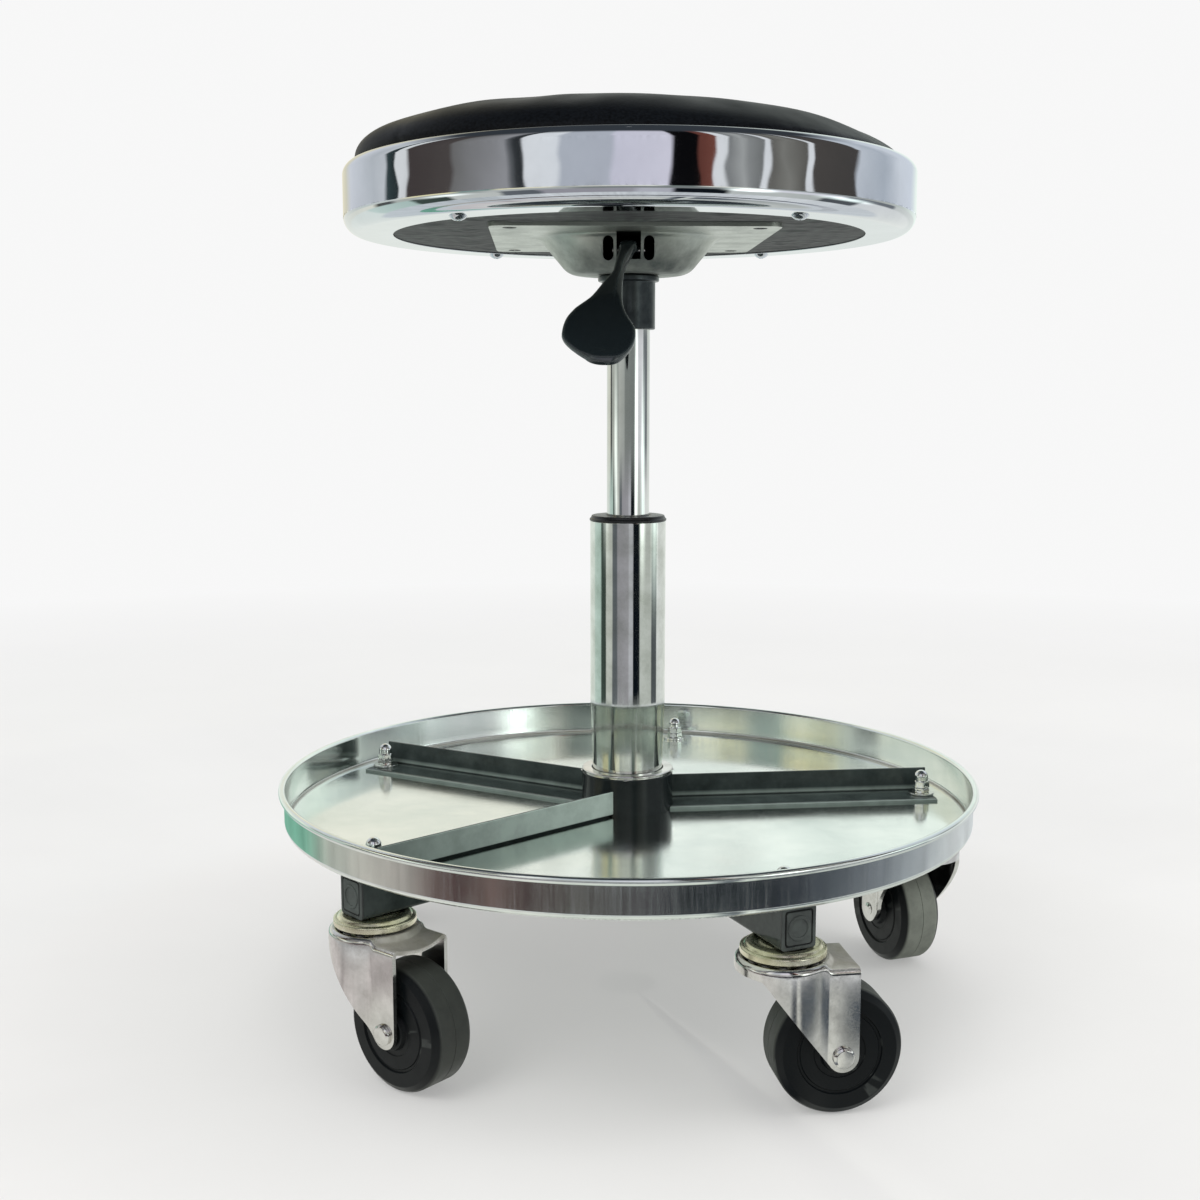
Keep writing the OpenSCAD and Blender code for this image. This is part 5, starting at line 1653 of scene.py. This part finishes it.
@dataclass
class Seat(Assembly):
    """Board, dust cover, bright band with its screws, and the cushion."""

    band_t: float = 1.0
    flange_w: float = 31.0
    foot_r: float = 10.0
    head_r: float = 7.0
    screw_circle: float = 160.0
    screw_angle: float = 53.0
    screw_head_r: float = 5.5
    screw_rise: float = 2.8
    board_r: float = 168.0
    # Where the pan's plate and the socket hold the cover, and how far it hangs between
    pan_half: float = 88.5
    cover_bore: float = 64.0
    cover_sag: float = 1.7
    crown_h: float = 27.3
    crown_power: float = 5.9
    crown_root: float = 1.55
    crown_shift: float = -18.0
    swell_most: float = 1.2
    gather_depth: float = 1.5
    gather_rise: float = 4.5

    def build(self) -> None:
        """Builds the seat."""
        self.band = Extent.of("chrome_band")
        self.board_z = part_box("seat_board")[0].z / MM
        self.build_band()
        self.build_screws()
        self.build_cover()
        self.build_cushion()
        dress(PLYWOOD, "seat_board")

    def build_band(self) -> None:
        """Builds the band: a flange, a bent foot, an upright wall and an edge rolled in."""
        band, wall = self.band, self.band_t
        inner, lip, side = (band.radius - away for away in (self.flange_w, self.head_r, wall))
        self.spin("bright_band", "chrome_band", CHROME, "seat", [
            (inner, band.low, 0.3), (band.radius, band.low, self.foot_r),
            (band.radius, band.high, self.head_r), (lip, band.high, 0.3),
            (lip, band.high - wall, 0.3), (side, band.high - wall, self.head_r - wall),
            (side, band.low + wall, self.foot_r - wall), (inner, band.low + wall, 0.3),
        ], 384, 14)

    def build_screws(self) -> None:
        """Builds the truss-head screws under the flange."""
        r, rise = self.screw_head_r, self.screw_rise
        cap_r = (r * r + rise * rise) / (2 * rise)
        half = degrees(asin(r / cap_r))
        head = arc((0, cap_r - rise), cap_r, -90, half - 90, 8)
        screw = self.spun.mesh(
            "screw", head + [(2.0, 0.0, 0), (2.0, 13.8, 0.3), (0.0, 13.8, 0)], CHROME,
            segments=48, closed=False,
        )
        recess = cross_recess(2.6, 0.9, 1.8, -rise - 0.3)
        spots = []
        for k, a in enumerate((self.screw_angle, -self.screw_angle,
                               180 + self.screw_angle, 180 - self.screw_angle)):
            turn = radians(a)
            spot = Vector((cos(turn), sin(turn), 0)) * self.screw_circle
            spot.z = self.band.low
            spots.append((spot, 0.7 + 0.9 * k))
        self.set_down("flange_screws", "band_screws", CHROME, "seat",
                      cut_from(screw, [recess]), spots)

    def build_cover(self) -> None:
        """Builds the dust cover: cloth stretched under the board, with a few pulls in it."""
        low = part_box("dust_cover")[0].z / MM
        outside = self.band.radius - self.flange_w - 1.5
        rings, count = 72, 240
        rows = []
        for ring in range(rings):
            r = mix(0.5, self.board_r, ring / (rings - 1))
            edge = ease((outside - r) / 10) if r > self.cover_bore else 0.0
            row = []
            for x, y, _ in circle(r, low, count):
                free = ease((max(abs(x), abs(y)) - self.pan_half) / 10) * edge
                pull = sum(strength * noise.noise(Vector((x / wide, y / deep, seed)))
                           for strength, wide, deep, seed in COVER_PULLS)
                row.append((x, y, low - free * self.cover_sag * abs(pull)))
            rows.append(row)
        cloth = modified(
            skin("cover", rows), ("SOLIDIFY", {"thickness": 0.5, "offset": 1.0})
        )
        piece = settle("stretched_cover", cloth, COVER_CLOTH, "seat", ["dust_cover"])

    def crown(self, share: float) -> float:
        """Height of the crown over the band at a share of its radius."""
        held = max(0.0, 1 - share ** self.crown_power)
        return self.crown_h * held ** (1 / self.crown_root)

    def build_cushion(self) -> None:
        """Builds the cushion: foam under vinyl that the band's lip draws in."""
        band = self.band
        lip = band.radius - self.head_r - 0.35
        foot = band.radius - self.foot_r
        top = self.board_z + 15
        base = band.high + 0.4
        profile = [(0.5, top), (self.board_r + 0.05, top), (self.board_r + 0.05, self.board_z),
                   (self.board_r + 2.5, self.board_z), (foot + 1, band.low + self.foot_r)]
        swell = band.radius - self.band_t - 0.6
        for k in range(1, 8):
            profile.append((
                mix(foot + 1, swell, sin(pi * k / 8)),
                mix(band.low + self.foot_r, band.high - self.head_r, k / 8),
            ))
        profile += [(lip - 0.6, band.high - 4.5), (lip - 0.2, band.high - 2.0),
                    (lip - 0.4, band.high - 0.8), (lip - 1.0, base)]
        crown_r = lip - 1.0
        for k in range(1, 61):
            share = sin(pi / 2 * (1 - k / 60))
            profile.append((crown_r * max(share, 0.003), base + self.crown(share)))
        rows = []
        for r, z in profile[::-1]:
            shift = self.crown_shift * (max(0.0, z - base) / self.crown_h)
            rows.append([(x + shift, y, z) for x, y, z in circle(r, z, 360)])
        mesh = skin("cushion", rows, capped=True)
        self.swell(mesh, base)
        for vert in mesh.vertices:
            if base - 1.5 < vert.co.z < base + 16:
                gather = self.gather(vert.co, base)
                way = Vector((vert.co.x, vert.co.y, 0)).normalized()
                vert.co += way * gather + Vector((0, 0, 0.6 * gather))
        piece = settle("vinyl_cushion", mesh, VINYL, "seat", ["seat_cushion"])

    def swell(self, mesh: Mesh, base: float) -> None:
        """Lets the vinyl swell under its foam's push, and keeps the crown's height."""
        move_near = Blow().moves(mesh, base, self.swell_most)
        for vert in mesh.vertices:
            if vert.co.z > base:
                vert.co += move_near(vert.co) * ease((vert.co.z - base) / 6)
        tall = (max(vert.co.z for vert in mesh.vertices) - base) / self.crown_h
        LOG.info("cushion swells to %.3f of its height", tall)
        for vert in mesh.vertices:
            if vert.co.z > base:
                vert.co.z = base + (vert.co.z - base) / tall

    def gather(self, point: Vector, base: float) -> float:
        """Small gathers that run up from the lip."""
        near = exp(-max(0.0, point.z - base) / self.gather_rise)
        spot = Vector((point.x, point.y, 0)).normalized() * 9 + Vector((0, 0, 0.3))
        deep = max(0.0, noise.noise(spot * 1.7) + 0.2)
        return -self.gather_depth * near * deep * abs(noise.noise(spot * 4.6))


@dataclass(frozen=True)
class Card:
    """A bright card that only mirrors see: where it stands round the column, and its light."""

    azimuth: float
    width: float
    low: float
    high: float
    tone: str
    power: float
    away: float = 1.5


@dataclass
class Studio:
    """Camera, floor, lamps and the surroundings that the bright metal mirrors."""

    camera_place: Point = (0.0, -1.0104, 0.405)
    camera_turn: Point = (82.147, 0.0, 1.05)
    lens: float = 45.909
    sensor: float = 36.0
    # Tone and roughness of the floor, its clouds' size, and its own light near the stool
    floor_half: float = 6.0
    floor_tones_near: tuple[str, str] = ("cccbc9", "c7c6c4")
    floor_rough: float = 0.55
    floor_cloud_mm: float = 260.0
    floor_glow: float = 0.3
    backdrop: str = "fcfcfc"
    backdrop_power: float = 0.96
    world_power: float = 0.85
    lamp_aim: Point = (0.0, 0.0, 0.25)
    wall_r: float = 1.6
    wall_top: float = 2.4
    # Tones of the surroundings by azimuth, seen from the column: 0 towards the camera, growing
    # to the right. The seat's band mirrors the high ones, and the tray's floor their back
    high_tones: tuple = (
        (-180, "f4faf6"), (-170, "f0f2ea"), (-160, "efe9d0"), (-145, "e2dfca"),
        (-136, "dfe3ea"), (-112, "c9ced3"), (-103, "d6dade"),
        (-101, "3c4a4c"), (-96, "2c3638"), (-95, "f0f2f2"), (-90, "e8eaea"), (-88, "4a4342"),
        (-68, "544e4c"), (-66, "7a7978"), (-44, "a3a3a6"), (-42, "6b6d70"), (-40, "3a3d40"),
        (-38, "2e3134"), (-37, "f4f6f8"), (-26, "f0f3f6"), (-24, "c2c7d0"), (-7, "c6cad4"),
        (-5, "e2e0ee"), (13.5, "e6e3f0"), (15, "0d0d0f"), (24.5, "0d0d0f"), (25.5, "6b4038"),
        (29.5, "7a4a40"), (30.5, "f5f6f8"), (34, "f2f4f5"), (35.5, "8a8c8c"), (41, "b5b7b5"),
        (43, "9b9d9c"), (47.5, "7f8180"), (48.3, "f4f6f8"), (50.3, "f4f6f8"), (51.5, "6d6b66"),
        (58, "8b8a84"), (66, "66645f"), (66.8, "f0f2f4"), (68.8, "f0f2f4"), (70, "524e4b"),
        (91, "4d4a48"), (93.5, "d6dce4"), (110, "c2cad4"), (125, "e2e8f0"), (140, "dde4ee"),
        (152, "f4fff8"), (180, "f4faf6"),
    )
    # The tray's rear wall mirrors these by way of the tray's floor
    veil_tones: tuple = (
        (-180, "f4f2e4"), (-150, "f0f2ea"), (-120, "d3dcd8"), (-95, "dfe4e0"), (-85, "fff6c8"),
        (-68, "fff6c8"), (-62, "8fa8a2"), (-52, "86a09a"), (-46, "f8f0c8"), (-30, "fffbe0"),
        (-22, "c4c6bc"), (-14, "ecece0"), (8, "fafcf0"), (16, "7c8682"), (22, "808a86"),
        (28, "f8f8ec"), (40, "f4f6ea"), (52, "b6bab9"), (80, "a8adad"), (110, "c3c7c2"),
        (150, "f4fff8"), (180, "f8fffa"),
    )
    # The cushion mirrors this, above the stool
    ceiling_tones: tuple = ((-180, "3c4147"), (180, "3c4147"))
    # The gas cylinder mirrors these
    middle_tones: tuple = (
        (-180, "eef4f0"), (-112, "eeefe2"), (-108, "5b5d58"), (-100, "55585a"), (-96, "c5c9c2"),
        (-75, "b9bdb6"), (-60, "9aa09b"), (-50, "c9ccc8"), (-22, "b9bdba"), (-16, "8f9492"),
        (38, "878c8b"), (41, "f0f0f6"), (84, "eeeef4"), (88, "757a80"), (118, "7d8288"),
        (122, "dfe3e0"), (180, "eef4f0"),
    )
    # The outer tube mirrors these
    low_tones: tuple = (
        (-180, "f4f8f2"), (-122, "eef6f0"), (-118, "d4e6df"), (-90, "c2d8d0"), (-87, "47544e"),
        (-71, "3f4b45"), (-68, "d5d8d2"), (-49, "d0d3ce"), (-46, "6c7176"), (-33, "666b71"),
        (-30, "a3a1a8"), (1, "acaab1"), (4, "c8c8d0"), (15, "c4c4cc"), (17, "0e141b"),
        (35, "10161d"), (38, "d2d6d2"), (75, "c8ccc8"), (78, "575c60"), (96, "5f6468"),
        (99, "f0f2f2"), (180, "f4f8f2"),
    )
    # The tray's outer wall mirrors these, low round the stool
    tray_tones: tuple = (
        (-180, "74b39b"), (-104, "7fb5a0"), (-96, "8fae9f"), (-88, "b4b6ae"), (-72, "c0bcb6"),
        (-56, "a8a29e"), (-48, "6d5b59"), (-41, "4a3939"), (-33, "6a5855"), (-24, "4d4241"),
        (-12, "565250"), (4, "49474a"), (14, "24272c"), (36, "2b2f36"), (50, "464b53"),
        (68, "7b8088"), (86, "a5a9af"), (100, "d2d4d8"), (180, "c8d0d0"),
    )
    # The band's foot mirrors these, on the floor round the stool
    floor_tones: tuple = (
        (-180, "d4dcdf"), (-90, "dde3e6"), (-60, "c4cacd"), (-30, "e4e8ea"), (20, "d9dde0"),
        (60, "eceff0"), (180, "d9e0e4"),
    )
    # The forks mirror these, on the floor under the tray and just outside it
    near_tones: tuple = (
        (-180, "e2dfdc"), (18, "e2e5de"), (22, "7d838a"), (25, "596067"), (26.5, "eef1ea"),
        (29, "eef1ea"), (30.5, "c9cdca"), (180, "e2e5de"),
    )
    edge_tones: tuple = (
        (-180, "dcd7d6"), (-66, "dcd7d6"), (-60, "b3adad"), (-54, "dcd7d6"), (18, "d0d3cf"),
        (22, "4b5157"), (25, "373d44"), (26.5, "dfe2dd"), (29, "d8dbd6"), (30.5, "4a525b"),
        (45, "5d656c"), (60, "b9bdbb"), (180, "e2e5de"),
    )
    cards: tuple = (
        Card(44, 26, 0.05, 0.6, "f6fff9", 2.6), Card(-70, 34, 0.1, 0.5, "f8fffb", 1.2),
        Card(88, 40, 0.0, 0.5, "f2fff9", 1.6),
    )

    def build(self) -> None:
        """Builds the studio."""
        self.camera()
        self.floor()
        self.lamps()
        self.world()
        self.surroundings()
        for card in self.cards:
            self.card(card)

    def camera(self) -> None:
        """Sets the camera where the photograph was taken from."""
        data = bpy.data.cameras.new("camera")
        data.lens, data.sensor_width = self.lens, self.sensor
        data.clip_start = 0.01
        camera = shown("camera", data)
        camera.location = self.camera_place
        camera.rotation_euler = [radians(turn) for turn in self.camera_turn]
        bpy.context.scene.camera = camera

    def floor(self) -> None:
        """Lays a pale, slightly cloudy floor that fades into the backdrop."""
        made = bpy.data.materials.new("pale_floor")
        made.use_nodes = True
        tree = made.node_tree
        add = partial(add_node, tree)
        point = add(COORDINATES)["Object"]
        clouds = add(NOISE, {
            "Vector": point, "Scale": per_mm(self.floor_cloud_mm), "Detail": 4.0,
        })[0]
        shade = add(RANGE, {"Value": clouds, **MIDDLE})[0]
        first, second = self.floor_tones_near
        shader = tree.nodes["Principled BSDF"]
        give(tree, shader, {
            "Base Color": add(MIXED, {0: shade, 6: first, 7: second}, data_type="RGBA")[2],
            "Roughness": self.floor_rough,
        })
        away = add("ShaderNodeVectorMath", {0: point}, operation="LENGTH")["Value"]
        share = add(RANGE, {
            "Value": away, "From Min": 0.6, "From Max": 2.2, "To Min": self.floor_glow,
        })[0]
        glow = add("ShaderNodeEmission", {
            "Color": self.backdrop, "Strength": self.backdrop_power,
        })[0]
        give(tree, tree.nodes["Material Output"], {"Surface": add(
            "ShaderNodeMixShader", {0: share, 1: shader.outputs["BSDF"], 2: glow}
        )[0]})
        half = self.floor_half
        mesh = skin("floor", [
            [(-half, -half, 0), (-half, half, 0)], [(half, -half, 0), (half, half, 0)]
        ], closed=False)
        mesh.materials.append(made)
        shown("floor", mesh)

    def lamps(self) -> None:
        """Hangs three wide soft lamps."""
        for name, place, size, power in (
            ("key_lamp", (-1.3, -1.5, 2.2), 1.6, 34.0),
            ("top_lamp", (0.3, 0.3, 2.6), 2.0, 30.0),
            ("side_lamp", (2.0, -0.3, 1.3), 1.4, 18.0),
        ):
            data = bpy.data.lights.new(name, "AREA")
            data.shape, data.size, data.energy = "SQUARE", size, power
            lamp = shown(name, data)
            lamp.location = place
            way = Vector(self.lamp_aim) - Vector(place)
            lamp.rotation_euler = way.to_track_quat("-Z", "Y").to_euler()
            lamp.visible_glossy = False

    def world(self) -> None:
        """Surrounds the stool with an even white that mirrors and the camera see."""
        world = bpy.data.worlds.new("studio_world")
        world.use_nodes = True
        bpy.context.scene.world = world
        tree = world.node_tree
        add = partial(add_node, tree)
        path = add("ShaderNodeLightPath")
        seen = add(
            MATHS, {0: path["Is Camera Ray"], 1: path["Is Glossy Ray"]}, operation="MAXIMUM"
        )[0]
        give(tree, tree.nodes["Background"], {
            "Color": self.backdrop,
            "Strength": add(RANGE, {
                "Value": seen, "To Min": self.world_power, "To Max": self.backdrop_power,
            })[0],
        })

    def surroundings(self) -> None:
        """Stands tones round the stool, and lays them on the floor, for mirrors to see."""
        wall, top, lay = self.wall_r, self.wall_top, 0.5 * MM
        # Heights on the wall that have each set of tones, and how uneven they are there
        upright = (
            (self.low_tones, ((0.0, 0.0), (0.22, 0.0))),
            (self.middle_tones, ((0.31, 0.0), (0.49, 0.0))),
            (self.veil_tones, ((0.53, 0.0), (0.63, 0.0))),
            (self.high_tones, (
                (0.655, 0.0), (0.664, 0.5), (0.671, 3.2), (0.677, 1.2), (0.683, 0.0), (0.7, 0.0),
                (0.72, 0.0), (0.74, 0.0), (0.76, 0.0), (0.775, 0.3), (0.79, 0.0), (1.7, 0.0),
            )),
        )
        self.toned("wall_tones", [
            *((wall, z, tones, uneven) for tones, levels in upright for z, uneven in levels),
            (0.9 * wall, top, self.ceiling_tones, 0.0), (0.02, top, self.ceiling_tones, 0.0),
        ], sway=2.6)
        self.toned("tray_tones", [
            (0.5, z, self.tray_tones, uneven)
            for z, uneven in ((lay, 0.5), (0.03, 0.35), (0.055, 0.35), (0.075, 0.2))
        ])
        self.toned("floor_tones", [(r, lay, tones, uneven) for r, tones, uneven in (
            (wall, self.low_tones, 0.0), (0.98, self.low_tones, 0.0),
            (0.9, self.floor_tones, 0.2), (0.46, self.floor_tones, 0.2),
            (0.42, self.edge_tones, 0.15), (0.36, self.edge_tones, 0.15),
            (0.31, self.near_tones, 0.1), (0.02, self.near_tones, 0.0),
        )])

    def toned(
        self, name: str, levels: Sequence[tuple[float, float, tuple, float]], sway: float = 0.0
    ) -> None:
        """Builds a round surface from levels.

        Args:
            name: name of the surface.
            levels: each level's radius, height, tones and how uneven these are, from outside
                in or from below up.
            sway: how far the tones' edges sway from level to level, in degrees.
        """
        count = 1440
        rows, tones = [], []
        for k in range(count + 1):
            azimuth = -180 + 360 * k / count
            still = ease((178 - abs(azimuth)) / 10)
            row = []
            for r, z, scale, uneven in levels:
                bend = sway * still * noise.noise(Vector((azimuth * 0.11, z * 23, 3)))
                a = radians(azimuth + bend - 90)
                row.append((r * cos(a), r * sin(a), z))
                streak = noise.noise(Vector((azimuth * 0.9, r * 7, z * 20)))
                streak += 0.6 * noise.noise(Vector((azimuth * 0.25, r * 4, 5)))
                held = min(1.4, max(0.04, 1 + uneven * streak))
                tones += [*(held * v for v in self.tone(scale, azimuth)[:3]), 1.0]
            rows.append(row)
        self.glowing(name, rows, tones, 1.0, clear=False)

    @staticmethod
    def tone(scale: tuple, azimuth: float) -> list[float]:
        """Tone of a scale at an azimuth."""
        for (start, first), (end, last) in zip(scale, scale[1:]):
            if azimuth <= end:
                break
        share = (azimuth - start) / (end - start)
        return [mix(a, b, share) for a, b in zip(linear(first), linear(last))]

    def card(self, card: Card) -> None:
        """Stands up one soft glow, which fades out towards its edges."""
        middle, half = radians(card.azimuth - 90), radians(card.width / 2)
        rows, tones = [], []
        for k in range(25):
            across = -1 + k / 12
            a = middle + half * across
            row = []
            for j in range(13):
                up = -1 + j / 6
                row.append((card.away * cos(a), card.away * sin(a),
                            mix(card.low, card.high, j / 12)))
                fade = ease(1 - abs(across)) * ease(1 - abs(up))
                tones += [*(fade * v for v in linear(card.tone)[:3]), 1.0]
            rows.append(row)
        self.glowing(f"card_{card.azimuth:.0f}", rows, tones, card.power, clear=True)

    @staticmethod
    def glowing(
        name: str, rows: Sequence[Sequence[Point]], tones: list[float], power: float, clear: bool
    ) -> None:
        """Adds a surface that only mirrors see.

        Args:
            name: name of the surface.
            rows: its rows of points, in metres.
            tones: four numbers for the light of each point in turn.
            power: how bright it is.
            clear: whether what is behind it shows as well.
        """
        mesh = skin(name, rows, closed=False)
        store = mesh.color_attributes.new("tone", "FLOAT_COLOR", "POINT")
        store.data.foreach_set("color", tones)
        made = bpy.data.materials.new(name)
        made.use_nodes = True
        tree = made.node_tree
        add = partial(add_node, tree)
        tree.nodes.remove(tree.nodes["Principled BSDF"])
        tone = add("ShaderNodeVertexColor", layer_name="tone")["Color"]
        glow = add("ShaderNodeEmission", {"Color": tone, "Strength": power})[0]
        if clear:
            through = add("ShaderNodeBsdfTransparent")[0]
            glow = add("ShaderNodeAddShader", {0: glow, 1: through})[0]
        give(tree, tree.nodes["Material Output"], {"Surface": glow})
        mesh.materials.append(made)
        piece = shown(name, mesh)
        piece.visible_camera = piece.visible_diffuse = piece.visible_shadow = False
        piece.visible_transmission = piece.visible_volume_scatter = False


def main() -> None:
    """Builds the stool's looks and its studio."""
    logging.basicConfig(level=logging.INFO, format="%(name)s: %(message)s")
    spun, placed = SpunTree(), PlacedTree()
    for assembly in (Casters, Base, Tray, GasLift, SeatFitting, Lever, Seat):
        assembly(spun, placed).build()
    Studio().build()
    bpy.context.scene.view_settings.view_transform = "Standard"


if __name__ == "__main__":
    main()
